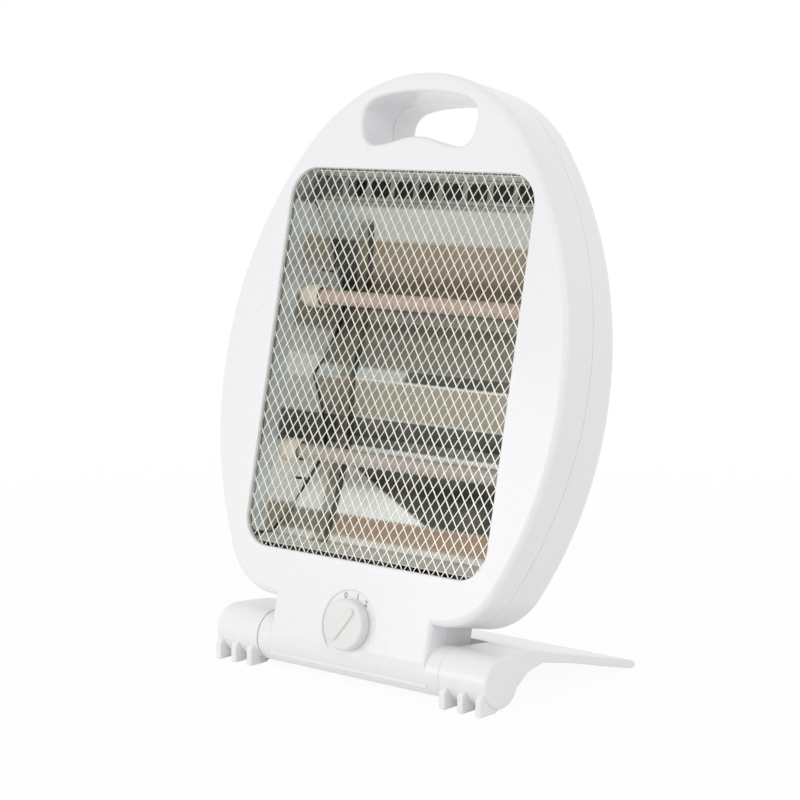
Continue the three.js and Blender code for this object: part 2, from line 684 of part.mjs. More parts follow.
function switchBody() {
  const half = switchSize / 2;
  const tags = [-8, 0, 8].map((x) =>
    box(x - 1.5, x + 1.5, -switchBack - 0.5, -switchBack + 6, dialHeight - 4, dialHeight - 3));
  return box(-half, half, -switchFront, -switchBack, dialHeight - half, dialHeight + half)
    .add(join(tags))
    .subtract(toSolid(barForward(shaftRadius + GAP, switchFront - 9, switchFront + 5, 0, dialHeight, 20)));
}

const switchShaft = () => toSolid(barForward(
  shaftRadius, switchFront - 8.5, knobBack + 4, 0, dialHeight, 20));

// ---------------------------------------------------------------- wiring and safety parts
const rearInside = rearDepth - wall - GAP;      // where parts sit against the rear shell

function terminalBlock() {
  const { x, z, width, height, depth, screw: screwR } = terminal;
  const body = box(x - width / 2, x + width / 2, rearInside - depth, rearInside,
    z - height / 2, z + height / 2);
  const front = -(rearInside - depth);
  const wells = [-1, 0, 1].map((i) => toSolid(
    barForward(screwR, front - 3, front + 3, x + i * width / 3, z, 12)));
  return body.subtract(join(wells));
}

function thermalCutout() {
  const front = -cutoutDepth;
  const can = toSolid(barForward(cutoutRadius, front - cutoutHeight, front, 0, ridgeHeight, 24));
  const tabs = box(-cutoutRadius - cutoutTab, cutoutRadius + cutoutTab, cutoutDepth + 4,
    cutoutDepth + 5, ridgeHeight - 3, ridgeHeight + 3);
  return can.add(tabs);
}

// Tip-over switch: a housing open to the front, with a weight that hangs from a pivot in it.
function tipSwitchHousing() {
  const { x, z, width, height, depth, wall: skin } = tipSwitch;
  const outer = box(x - width / 2, x + width / 2, rearInside - depth, rearInside,
    z - height / 2, z + height / 2);
  const inner = box(x - width / 2 + skin, x + width / 2 - skin, rearInside - depth - 5,
    rearInside - skin, z - height / 2 + skin, z + height / 2 - skin);
  const pin = toSolid(barX(tipSwitch.pin, x - width / 2 + skin - 0.2, x + width / 2 - skin + 0.2,
    tipPivotY, tipPivotZ, 16));
  return outer.subtract(inner).add(pin);
}
const tipPivotY = rearInside - tipSwitch.depth / 2 - 1.5;
const tipPivotZ = tipSwitch.z + tipSwitch.height / 2 - tipSwitch.wall - 3.2;

// Modelled about its pivot, hanging straight down.
function tipSwitchWeight() {
  const { pin, bob, arm } = tipSwitch;
  const half = tipSwitch.width / 2 - tipSwitch.wall - 0.8;
  const eye = toSolid(barX(pin + 1.2, -half + 1, half - 1, 0, 0, 20));
  const stem = box(-1, 1, -1, 1, -arm, 0);
  const weight = toSolid(barX(bob, -half, half, 0, -arm, 20));
  return join([eye, stem, weight])
    .subtract(toSolid(barX(pin + 0.25, -half - 1, half + 1, 0, 0, 20)));
}

function cordGland() {
  const y = rearDepth + GAP;
  const neck = toSolid(barForward(glandRadius, -y - 1, -rearInside + glandNut + 2, glandX, glandHeight, 24));
  const flange = toSolid(barForward(glandRadius + 2.5, -y - glandFlange, -y, glandX, glandHeight, 24));
  const sleeve = toSolid(barForward(glandRadius - 1.5, -y - glandSleeve, -y, glandX, glandHeight, 24));
  return join([neck, flange, sleeve])
    .subtract(toSolid(barForward(cordRadius, -FAR, FAR, glandX, glandHeight, 20)));
}

const glandNutRing = () => toSolid(
  barForward(glandRadius + 2.5, -rearInside, -rearInside + glandNut, glandX, glandHeight, 6))
  .subtract(toSolid(barForward(glandRadius + GAP, -FAR, FAR, glandX, glandHeight, 24)));

// A lead is a round tube along a smooth curve through hand-chosen points, in casing (x, y, z).
const lead = (points) => {
  const curve = new THREE.CatmullRomCurve3(points.map((p) => new THREE.Vector3(...p)), false, 'centripetal');
  return toSolid(new THREE.ExtrudeGeometry(circle(wireRadius, 6), {
    steps: Math.round(2.5 * points.length), extrudePath: curve, bevelEnabled: false,
  }));
};
const leadStartX = tubeEndX + GAP + 0.6;
const outX = capEndX + 5;
const tagTop = dialHeight - 3 + GAP;
const tagY = -switchBack + 4;
const terminalX = terminal.x + terminal.width / 2 + GAP;
const terminalFoot = terminal.z - terminal.height / 2 - GAP;
const midY = rearInside - terminal.depth / 2;
const shortDrop = 10;             // below a cap, where a lead has bent down
const longDrop = 14;
const cross = 8;                  // how far back a lead is where it crosses the trough's end

// Out of a ceramic cap, straight along its axis.
const outOfCap = (side, z) => [leadStartX, capEndX - 3, capEndX + 1, capEndX + 4].map(
  (x) => [side * x, tubeAxisDepth, z]);
const leadRoutes = {
  lead_upper_left: [
    ...outOfCap(-1, tubeHeights.upper),
    [-outX - 1.5, tubeAxisDepth + 1, tubeHeights.upper - shortDrop], [-outX - 2.5, tubeAxisDepth + 2, ridgeHeight],
    [-outX + 1, tubeAxisDepth + 6, 84], [-88, midY, 66], [-40, midY, 58], [-20, midY - 4, 45],
    [-12, 14, 29], [-8, tagY, tagTop + 4], [-8, tagY, tagTop],
  ],
  lead_lower_left: [
    ...outOfCap(-1, tubeHeights.lower),
    [-outX + 4, tubeAxisDepth + 3, tubeHeights.lower - longDrop], [-outX + 9, tubeAxisDepth + 5, 78],
    [-80, 20, 59], [-40, 22, 52], [-4, 20, 42], [0, 13, 28], [0, tagY, tagTop + 4], [0, tagY, tagTop],
  ],
  lead_upper_right: [
    ...outOfCap(1, tubeHeights.upper),
    [outX + 1.5, tubeAxisDepth + 1, tubeHeights.upper - shortDrop], [outX + 2.5, tubeAxisDepth + 2, ridgeHeight],
    [outX - 2, tubeAxisDepth + cross, 88], [88, midY, 73], [40, midY, terminal.z + 3],
    [terminalX, midY, terminal.z + 3],
  ],
  lead_lower_right: [
    ...outOfCap(1, tubeHeights.lower),
    [outX - 4, tubeAxisDepth + 3, tubeHeights.lower - longDrop], [outX - shortDrop, tubeAxisDepth + cross, 78],
    [80, midY - 3, 66], [40, midY - 3, terminal.z - 3], [terminalX, midY - 3, terminal.z - 3],
  ],
  lead_supply: [
    [8, midY - 3, terminalFoot], [8, midY - 3, terminalFoot - 4], [9, midY - 6, 52],
    [9, 19, 42], [8, 13, 28], [8, tagY, tagTop + 4], [8, tagY, tagTop],
  ],
};

// ---------------------------------------------------------------- screws
function screw(x, z, seatY, length) {
  const head = toSolid(barForward(screwHeadRadius, -seatY - screwHeadHeight, -seatY, x, z, 16));
  const shank = toSolid(barForward(screwRadius, -seatY - 0.5, -seatY + length, x, z, 12));
  const top = seatY + screwHeadHeight;
  const slot = (w, h) => box(x - w / 2, x + w / 2, top - 1, top + 1, z - h / 2, z + h / 2);
  return head.add(shank)
    .subtract(slot(crossWidth, crossLength).add(slot(crossLength, crossWidth)));
}

// ---------------------------------------------------------------- stand (its own frame: axis at y = 0)
function stand() {
  const top = axisHeight + barrelRadius;
  const arm = new THREE.Shape([
    [0, top], [-14, top - 0.9], [-shoulder.reach, shoulder.height], [-slope.reach, slope.height],
    [-shelf.reach, shelf.height], [-standRearY + plateThickness, rearTipHeight],
    [-standRearY + 1, rearTipHeight - 2], [-standRearY, 1], [-standRearY + 1, 0], [-standRearY + 6, 0],
    [-shelf.reach, shelf.height - plateThickness], [-slope.reach, slope.height - plateThickness],
    [-slope.reach + 30, archTop], [-shoulder.reach, archTop - 1.4], [-shoulder.reach + 7, archTop - 3.3],
    [-14, 11], [0, axisHeight],
  ].map(([forward, z]) => new THREE.Vector2(forward, z)));
  const neckClear = neckRearDepth + swingRoom;
  const both = (make) => [-1, 1].map(make);
  const arms = both((side) => {
    const [x0, x1] = [side * barrelInnerX, side * (barrelOuterX - 1)].sort((a, b) => a - b);
    return toSolid(extrudeAcross(arm, x0, x1));
  });
  const middle = toSolid(extrudeAcross(arm, -barrelInnerX - 1, barrelInnerX + 1))
    .intersect(box(-FAR, FAR, neckClear, FAR, -FAR, FAR));
  const barrels = both((side) => toSolid(turnedX([
    [0, barrelInnerX], [barrelRadius, barrelInnerX], [barrelRadius, barrelOuterX - 2.5],
    [barrelRadius - 0.7, barrelOuterX - 0.8], [barrelRadius - 2.4, barrelOuterX], [0, barrelOuterX + 0.4],
  ].map(([r, x]) => [r, side * x]), 30)).translate([0, 0, axisHeight]));
  const journals = both((side) => {
    const ends = [side * (barrelInnerX - journalLength), side * (barrelInnerX + 1)];
    const [x0, x1] = ends.sort((a, b) => a - b);
    return toSolid(barX(journalRadius, x0, x1, 0, axisHeight, 24));
  });
  const fin = new THREE.Shape([
    [finReach, 0], [finReach, finTop - 2], [finReach - 2, finTop], [0, finTop + 6],
    [-4, axisHeight], [-6, 6], [4, 0],
  ].map(([forward, z]) => new THREE.Vector2(forward, z)));
  const fins = both((side) => Array.from({ length: finCount }, (_, i) => {
    const x = side * (barrelOuterX - finSetback - i * finPitch);
    return toSolid(extrudeAcross(fin, x - finWidth / 2, x + finWidth / 2));
  })).flat();
  return join([middle, ...arms, ...barrels, ...journals, ...fins]);
}

// ---------------------------------------------------------------- assembly
const heater = new THREE.Group();
const casing = new THREE.Group();
casing.position.z = axisHeight;
casing.rotation.x = -leanAngle * DEG;
heater.add(casing);

function addPart(group, name, solid, look) {
  const mesh = new THREE.Mesh(toGeometry(solid), look);
  mesh.name = name;
  group.add(mesh);
  return mesh;
}

addPart(heater, 'stand', stand(), standPlastic);
addPart(casing, 'front_casing', frontCasing(), whitePlastic);
addPart(casing, 'rear_casing', rearCasing(), whitePlastic);
addPart(casing, 'grille_mesh', grilleMesh(), meshMetal);
addPart(casing, 'grille_frame', grilleFrame(), frameMetal);
addPart(casing, 'reflector', reflector(), polishedMetal);
for (const [label, side] of [['left', -1], ['right', 1]]) {
  addPart(casing, `reflector_end_${label}`, reflectorEnd(side), polishedMetal);
  for (const [level, z] of Object.entries(tubeHeights)) {
    addPart(casing, `ceramic_cap_${level}_${label}`, ceramicCap(side), ceramic)
      .position.set(0, tubeAxisDepth, z);
  }
}
for (const [level, z] of Object.entries(tubeHeights)) {
  addPart(casing, `quartz_tube_${level}`, quartzTube(), quartz).position.set(0, tubeAxisDepth, z);
  addPart(casing, `heating_coil_${level}`, heatingCoil(), coilMetal).position.set(0, tubeAxisDepth, z);
}
const knobMesh = addPart(casing, 'knob', knob(), knobPlastic);
knobMesh.geometry.rotateZ(Math.PI);
knobMesh.position.set(0, -knobBack, dialHeight);
knobMesh.rotation.y = -knobAngle * DEG;
addPart(casing, 'switch_shaft', switchShaft(), brass);
addPart(casing, 'rotary_switch', switchBody(), blackPlastic);
addPart(casing, 'terminal_block', terminalBlock(), blackPlastic);
addPart(casing, 'thermal_cutout', thermalCutout(), frameMetal);
addPart(casing, 'tip_switch_housing', tipSwitchHousing(), blackPlastic);
const tipWeight = addPart(casing, 'tip_switch_weight', tipSwitchWeight(), brass);
tipWeight.position.set(tipSwitch.x, tipPivotY, tipPivotZ);
tipWeight.rotation.x = leanAngle * DEG;
addPart(casing, 'cord_gland', cordGland(), blackPlastic);
addPart(casing, 'gland_nut', glandNutRing(), blackPlastic);
for (const [name, points] of Object.entries(leadRoutes)) addPart(casing, name, lead(points), wireSleeve);
casingScrews.forEach(([x, z], i) => addPart(casing, `casing_screw_${i + 1}`,
  screw(x, z, seamDepthAt(z) + GAP + screwWeb + GAP, screwBite + screwWeb), screwMetal));
reflectorScrews.forEach(([x, z], i) => addPart(casing, `reflector_screw_${i + 1}`,
  screw(x, z, earDepth + GAP, screwBite - 3), screwMetal));

// Origin under the middle of the whole heater, on the floor.
heater.updateMatrixWorld(true);
const span = new THREE.Box3().setFromObject(heater, true);
heater.position.y = -(span.min.y + span.max.y) / 2;
console.log(`origin shift in y: ${heater.position.y.toFixed(3)} mm, size: `
  + span.getSize(new THREE.Vector3()).toArray().map((n) => n.toFixed(1)).join(' x '));

export default heater;
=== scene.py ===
"""The looks of a white two-tube quartz heater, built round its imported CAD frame.

The heater's sizes are in millimetres, and those of the studio round it in metres. The casing and what
it holds are drawn upright, with depths behind the tilt axis and heights above it, and are then leaned
back to their place.
"""

import json
import math
from contextlib import contextmanager

import bpy
from mathutils import Matrix, Vector


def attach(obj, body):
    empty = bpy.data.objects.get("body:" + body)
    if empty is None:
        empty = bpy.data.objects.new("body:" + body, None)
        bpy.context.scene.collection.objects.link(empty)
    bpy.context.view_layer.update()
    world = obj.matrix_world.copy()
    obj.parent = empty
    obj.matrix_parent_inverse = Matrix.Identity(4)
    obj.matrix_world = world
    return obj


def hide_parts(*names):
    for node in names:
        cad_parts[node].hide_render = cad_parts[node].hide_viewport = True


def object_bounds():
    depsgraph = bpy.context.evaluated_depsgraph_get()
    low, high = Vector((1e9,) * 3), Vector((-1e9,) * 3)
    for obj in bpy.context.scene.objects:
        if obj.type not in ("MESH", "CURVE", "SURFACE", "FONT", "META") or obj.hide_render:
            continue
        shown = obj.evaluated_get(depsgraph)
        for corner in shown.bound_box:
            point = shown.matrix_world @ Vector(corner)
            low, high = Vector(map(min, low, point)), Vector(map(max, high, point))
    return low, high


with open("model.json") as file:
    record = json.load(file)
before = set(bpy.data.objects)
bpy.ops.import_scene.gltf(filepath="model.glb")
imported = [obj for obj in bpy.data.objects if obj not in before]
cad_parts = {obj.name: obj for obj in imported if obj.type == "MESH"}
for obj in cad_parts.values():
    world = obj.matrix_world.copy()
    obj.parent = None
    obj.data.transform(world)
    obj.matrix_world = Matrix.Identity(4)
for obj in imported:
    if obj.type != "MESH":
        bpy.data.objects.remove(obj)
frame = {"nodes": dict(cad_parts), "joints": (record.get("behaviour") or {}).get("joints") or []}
cad_low, cad_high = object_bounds()
mm = 0.001

# ------------------------------------------------------------------ camera
# The photographer's place: to the right of the heater and a little above its middle, with a long
# lens, so that its upright lines stay nearly parallel.
camera_place = Vector((0.91392, -1.09756, 0.37111))
camera_azimuth = math.radians(40.36)
camera_elevation = math.radians(7.91)
looking = Vector((
    -math.sin(camera_azimuth) * math.cos(camera_elevation),
    math.cos(camera_azimuth) * math.cos(camera_elevation),
    -math.sin(camera_elevation),
))
bpy.ops.object.camera_add(location=camera_place)
camera = bpy.context.object
camera.rotation_euler = looking.to_track_quat("-Z", "Y").to_euler()
camera.data.lens = 101.3
camera.data.sensor_width = 36
bpy.context.scene.camera = camera

# ------------------------------------------------------------------ studio
# A pale floor under the heater, an even white room, and two large soft lamps: one low in front and one
# high to the right.


class Wire:
    """A value in a material's node tree, so that the shader's maths can be written as sums."""

    def __init__(self, tree, socket):
        self.tree = tree
        self.socket = socket

    def plug(self, value, target):
        """Links a wire to a socket, or sets the socket to a plain value."""
        if isinstance(value, Wire):
            self.tree.links.new(value.socket, target)
        else:
            target.default_value = value

    def node(self, kind, settings, sockets, out=0):
        """Adds a node: its settings first, then what goes into its sockets; gives one output."""
        made = self.tree.nodes.new(kind)
        for name, value in settings.items():
            setattr(made, name, value)
        for name, value in sockets.items():
            self.plug(value, made.inputs[name])
        return Wire(self.tree, made.outputs[out])

    def math(self, operation, *values):
        """A Math node with this value first."""
        return self.node("ShaderNodeMath", {"operation": operation}, dict(enumerate((self, *values))))

    def __add__(self, other):
        return self.math("ADD", other)

    def __radd__(self, other):
        return self.math("ADD", other)

    def __sub__(self, other):
        return self.math("SUBTRACT", other)

    def __rsub__(self, other):
        return (self * -1.0) + other

    def __mul__(self, other):
        return self.math("MULTIPLY", other)

    def __rmul__(self, other):
        return self.math("MULTIPLY", other)

    def step(self, low, high):
        """0 below low, 1 above high and smooth between."""
        return self.node("ShaderNodeMapRange", {"interpolation_type": "SMOOTHSTEP"}, {
            "Value": self, "From Min": low, "From Max": high})

    def band(self, low, high, soft):
        """1 between low and high, fading over a soft width outside them."""
        return self.step(low - soft, low) * (1 - self.step(high, high + soft))

    def mix(self, first, second):
        """From the first colour to the second as this value goes from 0 to 1."""
        return self.node("ShaderNodeMix", {"data_type": "RGBA"}, {0: self, 6: first, 7: second}, 2)

    def noise(self, scale, detail=2.0, stretch=(1, 1, 1)):
        """Cloudy noise over a place, `scale` to the metre, drawn out along an axis by a small stretch."""
        spread = self.node("ShaderNodeMapping", {}, {"Vector": self, "Scale": stretch})
        return self.node("ShaderNodeTexNoise", {}, {"Vector": spread, "Scale": scale, "Detail": detail})

    def along(self, origin, direction):
        """How far a place lies from the origin along a direction."""
        away = self.node("ShaderNodeVectorMath", {"operation": "SUBTRACT"}, {0: self, 1: origin})
        return self.node("ShaderNodeVectorMath", {"operation": "DOT_PRODUCT"}, {0: away, 1: direction}, 1)

    def bump(self, strength, distance):
        """A surface normal that follows this value as a height."""
        return self.node("ShaderNodeBump", {}, {"Height": self, "Strength": strength, "Distance": distance})


def new_material(name):
    """A material with its place on the object, and its main shader ready to be filled."""
    material = bpy.data.materials.new(name)
    material.use_nodes = True
    tree = material.node_tree
    surface = tree.nodes["Principled BSDF"]
    coordinates = tree.nodes.new("ShaderNodeTexCoord")
    return material, Wire(tree, coordinates.outputs["Object"]), surface


def fill(place, surface, **looks):
    """Puts values into the main shader's sockets, named with _ for a space."""
    for name, value in looks.items():
        place.plug(value, surface.inputs[name.replace("_", " ")])


def rgb(red, green, blue):
    """A colour as its screen values from 0 to 255, in the linear light that shaders use."""
    def linear(value):
        share = value / 255
        return share / 12.92 if share <= 0.04045 else ((share + 0.055) / 1.055) ** 2.4
    return (linear(red), linear(green), linear(blue), 1)


def seen_straight(tree):
    """1 for what the camera sees straight, by a mirror or through glass, and 0 for all other light."""
    path = tree.nodes.new("ShaderNodeLightPath")
    camera_ray, mirror_ray, glass_ray = (
        Wire(tree, path.outputs[f"Is {kind} Ray"]) for kind in ("Camera", "Glossy", "Transmission"))
    return camera_ray.math("MAXIMUM", mirror_ray).math("MAXIMUM", glass_ray)


floor_colour = rgb(240, 240, 240)
glow_near = 0.95                  # share of plain white in what the camera sees of the floor
glow_far = 1.0
bpy.ops.object.select_all(action="DESELECT")
bpy.ops.mesh.primitive_plane_add(size=12, location=(0, 0, 0))
floor = bpy.context.object
floor.name = "floor"
floor_material, floor_place, floor_surface = new_material("studio_floor")
fill(floor_place, floor_surface, Roughness=0.9,
     Base_Color=floor_place.noise(3).mix(floor_colour, rgb(244, 244, 244)))
seen = seen_straight(floor_place.tree)
white_glow = seen.node("ShaderNodeEmission", {}, {"Color": (1, 1, 1, 1), "Strength": 1.0})
from_middle = floor_place.node("ShaderNodeVectorMath", {"operation": "LENGTH"}, {0: floor_place}, 1)
glow = glow_near + (glow_far - glow_near) * from_middle.step(0.3, 1.1)
floor_mix = seen.node("ShaderNodeMixShader", {}, {"Fac": seen * glow})
floor_place.tree.links.new(floor_surface.outputs[0], floor_mix.socket.node.inputs[1])
floor_place.tree.links.new(white_glow.socket, floor_mix.socket.node.inputs[2])
floor_output = next(node for node in floor_place.tree.nodes if node.type == "OUTPUT_MATERIAL")
floor_place.tree.links.new(floor_mix.socket, floor_output.inputs["Surface"])
floor.data.materials.append(floor_material)

room_light = 0.82
world = bpy.data.worlds.new("studio")
bpy.context.scene.world = world
world.use_nodes = True
room = world.node_tree
room_seen = seen_straight(room)
soft_room = room_seen.node("ShaderNodeBackground", {}, {"Color": (1, 1, 1, 1), "Strength": room_light})
white_room = room_seen.node("ShaderNodeBackground", {}, {"Color": (1, 1, 1, 1), "Strength": 1.0})
room_mix = room_seen.node("ShaderNodeMixShader", {}, {"Fac": room_seen})
room.links.new(soft_room.socket, room_mix.socket.node.inputs[1])
room.links.new(white_room.socket, room_mix.socket.node.inputs[2])
room.links.new(room_mix.socket, room.nodes["World Output"].inputs["Surface"])


def lamp(name, place, size, power):
    """A square soft lamp at a place, turned to the middle of the heater."""
    bpy.ops.object.light_add(type="AREA", location=place)
    made = bpy.context.object
    made.name = name
    made.data.size = size
    made.data.energy = power
    middle = (cad_low + cad_high) / 2
    made.rotation_euler = (middle - Vector(place)).to_track_quat("-Z", "Y").to_euler()


lamp("lamp_low_front", (-0.55, -1.35, 0.14), 0.8, 5.0)
lamp("lamp_high_right", (1.6, -0.9, 1.5), 1.2, 3.0)

# ------------------------------------------------------------------ stand
# One moulding of white plastic on the table: two round barrels whose journals hold the casing's hinge
# bar, three fin feet under the front of each, and arms that run back from them into a sloping plate.


def only(piece):
    """Selects one piece and nothing else."""
    bpy.ops.object.select_all(action="DESELECT")
    piece.select_set(True)
    bpy.context.view_layer.objects.active = piece
    return piece


def settle(piece):
    """Puts a piece's own origin at the frame's, unturned and unscaled."""
    only(piece)
    bpy.ops.object.transform_apply(location=True, rotation=True, scale=True)
    return piece


def add(operator, **settings):
    """Adds a primitive with nothing else selected, and settles it."""
    bpy.ops.object.select_all(action="DESELECT")
    operator(**settings)
    return settle(bpy.context.object)


@contextmanager
def editing(piece, kind="VERT", picked=False):
    """Edit mode on one piece, for its vertices, edges or faces: all of them, or those picked before."""
    only(piece)
    bpy.ops.object.mode_set(mode="EDIT")
    bpy.ops.mesh.select_mode(type=kind)
    if not picked:
        bpy.ops.mesh.select_all(action="SELECT")
    yield
    bpy.ops.object.mode_set(mode="OBJECT")


def draw(name, start, strokes, closed=True):
    """An outline in the x-height plane, drawn from one point. A stroke is a place to run straight to,
    or (centre x, centre height, degrees, steps) for an arc, anticlockwise from the front."""
    piece = add(bpy.ops.mesh.primitive_plane_add, size=mm, location=(start[0] * mm, 0, start[1] * mm))
    piece.name = name
    at = Vector((start[0], 0, start[1])) * mm
    with editing(piece):
        bpy.ops.mesh.merge(type="CENTER")
        for stroke in strokes:
            if len(stroke) == 2:
                goal = Vector((stroke[0], 0, stroke[1])) * mm
                bpy.ops.mesh.extrude_region_move(TRANSFORM_OT_translate={"value": goal - at})
                at = goal
                continue
            centre = Vector((stroke[0], 0, stroke[1])) * mm
            turn = math.radians(stroke[2])
            bpy.ops.mesh.spin(steps=stroke[3], angle=turn, center=centre, axis=(0, 1, 0))
            at = centre + Matrix.Rotation(-turn, 3, "Y") @ (at - centre)
        bpy.ops.mesh.select_all(action="SELECT")
        bpy.ops.mesh.remove_doubles(threshold=0.02 * mm)
        bpy.ops.mesh.select_all(action="SELECT")
        if closed:
            bpy.ops.mesh.edge_face_add()
    return piece


def raise_outline(piece, front, back):
    """Makes a flat outline a slab from one depth to another; depths are behind the axis plane."""
    with editing(piece, "FACE"):
        bpy.ops.transform.translate(value=(0, front * mm, 0))
        bpy.ops.mesh.extrude_region_move(TRANSFORM_OT_translate={"value": (0, (back - front) * mm, 0)})
        bpy.ops.mesh.select_all(action="SELECT")
        bpy.ops.mesh.normals_make_consistent(inside=False)
    return piece


def modify(piece, kind, **settings):
    """Gives a piece a modifier with its settings, and applies it."""
    only(piece)
    change = piece.modifiers.new("change", kind)
    for name, value in settings.items():
        setattr(change, name, value)
    bpy.ops.object.modifier_apply(modifier=change.name)
    return piece


def combine(piece, tool, operation):
    """Joins a piece with a tool, or cuts it by one, and takes the tool away."""
    modify(piece, "BOOLEAN", object=tool, operation=operation, solver="EXACT")
    bpy.data.objects.remove(tool)
    return piece


def cut(piece, tool):
    """Takes a tool's space out of a piece."""
    return combine(piece, tool, "DIFFERENCE")


def join(piece, *tools):
    """Makes a piece one body with the tools that run into it."""
    for tool in tools:
        combine(piece, tool, "UNION")
    return piece


def soften(piece, radius, segments, share=None, angle=30):
    """Rounds a piece's edges: all that are sharper than an angle, or each by the share of the radius
    that a function gives for its two ends."""
    if share is not None:
        weights = piece.data.attributes.get("bevel_weight_edge")
        if weights is None:
            weights = piece.data.attributes.new("bevel_weight_edge", "FLOAT", "EDGE")
        spots = [vertex.co for vertex in piece.data.vertices]
        for edge in piece.data.edges:
            weights.data[edge.index].value = share(*[spots[i] for i in edge.vertices])
    modify(piece, "BEVEL", width=radius * mm, segments=segments, angle_limit=math.radians(angle),
           limit_method="ANGLE" if share is None else "WEIGHT", use_clamp_overlap=share is None)
    weights = piece.data.attributes.get("bevel_weight_edge")
    if weights is not None:
        piece.data.attributes.remove(weights)
    return piece


def weld(piece, distance=0.02):
    """Merges a piece's points that lie closer than a distance, and turns its faces outwards."""
    with editing(piece):
        bpy.ops.mesh.remove_doubles(threshold=distance * mm)
        bpy.ops.mesh.select_all(action="SELECT")
        bpy.ops.mesh.normals_make_consistent(inside=False)
    return piece


def polish(piece, angle=32):
    """Smooth shading over rounded edges, and flat faces left flat."""
    weld(piece, 0.005)
    bpy.ops.object.shade_smooth_by_angle(angle=math.radians(angle))
    return modify(piece, "WEIGHTED_NORMAL", keep_sharp=True)


def mount(piece, name, body, material, slot, *nodes):
    """Names a finished piece, gives it its material and body, and puts it in its nodes' place."""
    piece.name = name
    piece.data.name = name
    piece.data.materials.clear()
    piece.data.materials.append(material)
    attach(piece, body)
    if nodes:
        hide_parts(*nodes)
    return piece


tilt = next(joint for joint in frame["joints"] if joint["name"] == "tilt")
hinge = Vector(tilt["pos_m"])
axis_height = hinge.z / mm
barrel_radius = 16.31
barrel_inner = 76.0
barrel_outer = 112.6
stand_rear = 141.4
fin_places = [108.5, 94.6, 80.7]
fin_width = 4.5
fin_profile = [(-19, 0), (-19, 11), (-17, 13), (0, 19), (4, axis_height), (6, 6), (-4, 0)]
journal_radius = 8.0
journal_length = 13.5


def moulded_plastic(name, colour, warm, gloss, painted_shade=None):
    """Injection-moulded plastic: an even colour with faint flow clouds and a slightly uneven gloss. A
    function may say where painted shade makes it a flat dark grey."""
    material, place, surface = new_material(name)
    fine = place.noise(900, 2)
    colour = place.noise(6, 1).step(0.3, 0.7).mix(colour, warm)
    if painted_shade is not None:
        # painted shade: these places are turned dark grey
        colour = painted_shade(place).mix(colour, rgb(84, 84, 82))
    fill(place, surface, Base_Color=colour,
         Roughness=gloss + 0.05 * place.noise(60, 4) + 0.03 * fine,
         Normal=(fine + place.noise(90, 2)).bump(0.02, 0.2 * mm),
         IOR=1.5, Coat_Weight=0.25, Coat_Roughness=0.12)
    return material


stand_plastic = moulded_plastic("stand_plastic", rgb(244, 242, 243), rgb(242, 240, 241), 0.3)


def across(name, profile, half_width, centre=0):
    """A bar along x with a side profile of (depth behind the axis, height) points."""
    bar = draw(name, profile[0], profile[1:])
    raise_outline(bar, -half_width, half_width)
    bar.matrix_world = Matrix.Translation((centre * mm, 0, 0)) @ Matrix.Rotation(math.radians(90), 4, "Z")
    return settle(bar)


def round_bar(radius, x0, x1, depth=0, height=0, sides=64):
    """A round bar along x."""
    return add(bpy.ops.mesh.primitive_cylinder_add, radius=radius * mm, depth=(x1 - x0) * mm,
               vertices=sides, location=((x0 + x1) / 2 * mm, depth * mm, height * mm),
               rotation=(0, math.radians(90), 0))


plate_profile = [
    (0, 34.4), (14, 33.5), (32.6, 31.5), (72.4, 21.5), (100, 14.4), (135.7, 5.6), (140.4, 3.6),
    (stand_rear, 1), (140.4, 0), (135.4, 0), (100, 8.8), (72.4, 15.9), (42.5, 22.1), (32.7, 20.7),
    (25.8, 18.8), (14, 11), (0, axis_height),
]
casing_room = 34.0                # the plate starts this far behind the tilt axis between the arms
stand = across("stand", plate_profile, barrel_outer - 1)
cut(stand, add(bpy.ops.mesh.primitive_cube_add, size=1, location=(0, (casing_room - 50) * mm, 0),
               scale=(2 * (barrel_inner + 0.2) * mm, 100 * mm, 100 * mm)))
soften(stand, 1.4, 3, angle=40)
stand_pieces = []
for side in (-1, 1):
    ends = sorted((side * barrel_inner, side * barrel_outer))
    barrel = round_bar(barrel_radius, *ends, height=axis_height, sides=96)
    soften(barrel, 2.2, 5, lambda a, b: abs(a.x - b.x) < 0.1 * mm and a.x * side > (barrel_outer - 1) * mm)
    stand_pieces.append(barrel)
    ends = sorted((side * (barrel_inner - journal_length), side * (barrel_inner + 1)))
    stand_pieces.append(round_bar(journal_radius, *ends, height=axis_height, sides=48))
    for fin_place in fin_places:
        fin = across("fin", fin_profile, fin_width / 2, side * fin_place)
        soften(fin, 0.8, 3, angle=20)
        stand_pieces.append(fin)
join(stand, *stand_pieces)
stand.location = (0, hinge.y, 0)
settle(stand)
polish(stand)
mount(stand, "stand_moulding", "stand", stand_plastic, "stand_plastic", "stand")

# ------------------------------------------------------------------ casing
# Two glossy shells of moulded white plastic, screwed together along a joint that leans slightly back:
# an egg-shaped body with a kidney hole as carrying handle, a neck that merges into the hinge bar, and
# the opening for the net in the front.
dial_turn = next(joint for joint in frame["joints"] if joint["name"] == "knob_turn")
forward = Vector(dial_turn["axis"])
lean = math.atan2(forward.z, -forward.y)
upward = Vector((0, math.sin(lean), math.cos(lean)))
leaned = Matrix.Translation(hinge) @ Matrix.Rotation(-lean, 4, "X")


def lean_back(piece):
    """Turns a piece that was modelled upright about the tilt axis to where the casing holds it."""
    piece.matrix_world = leaned
    return settle(piece)


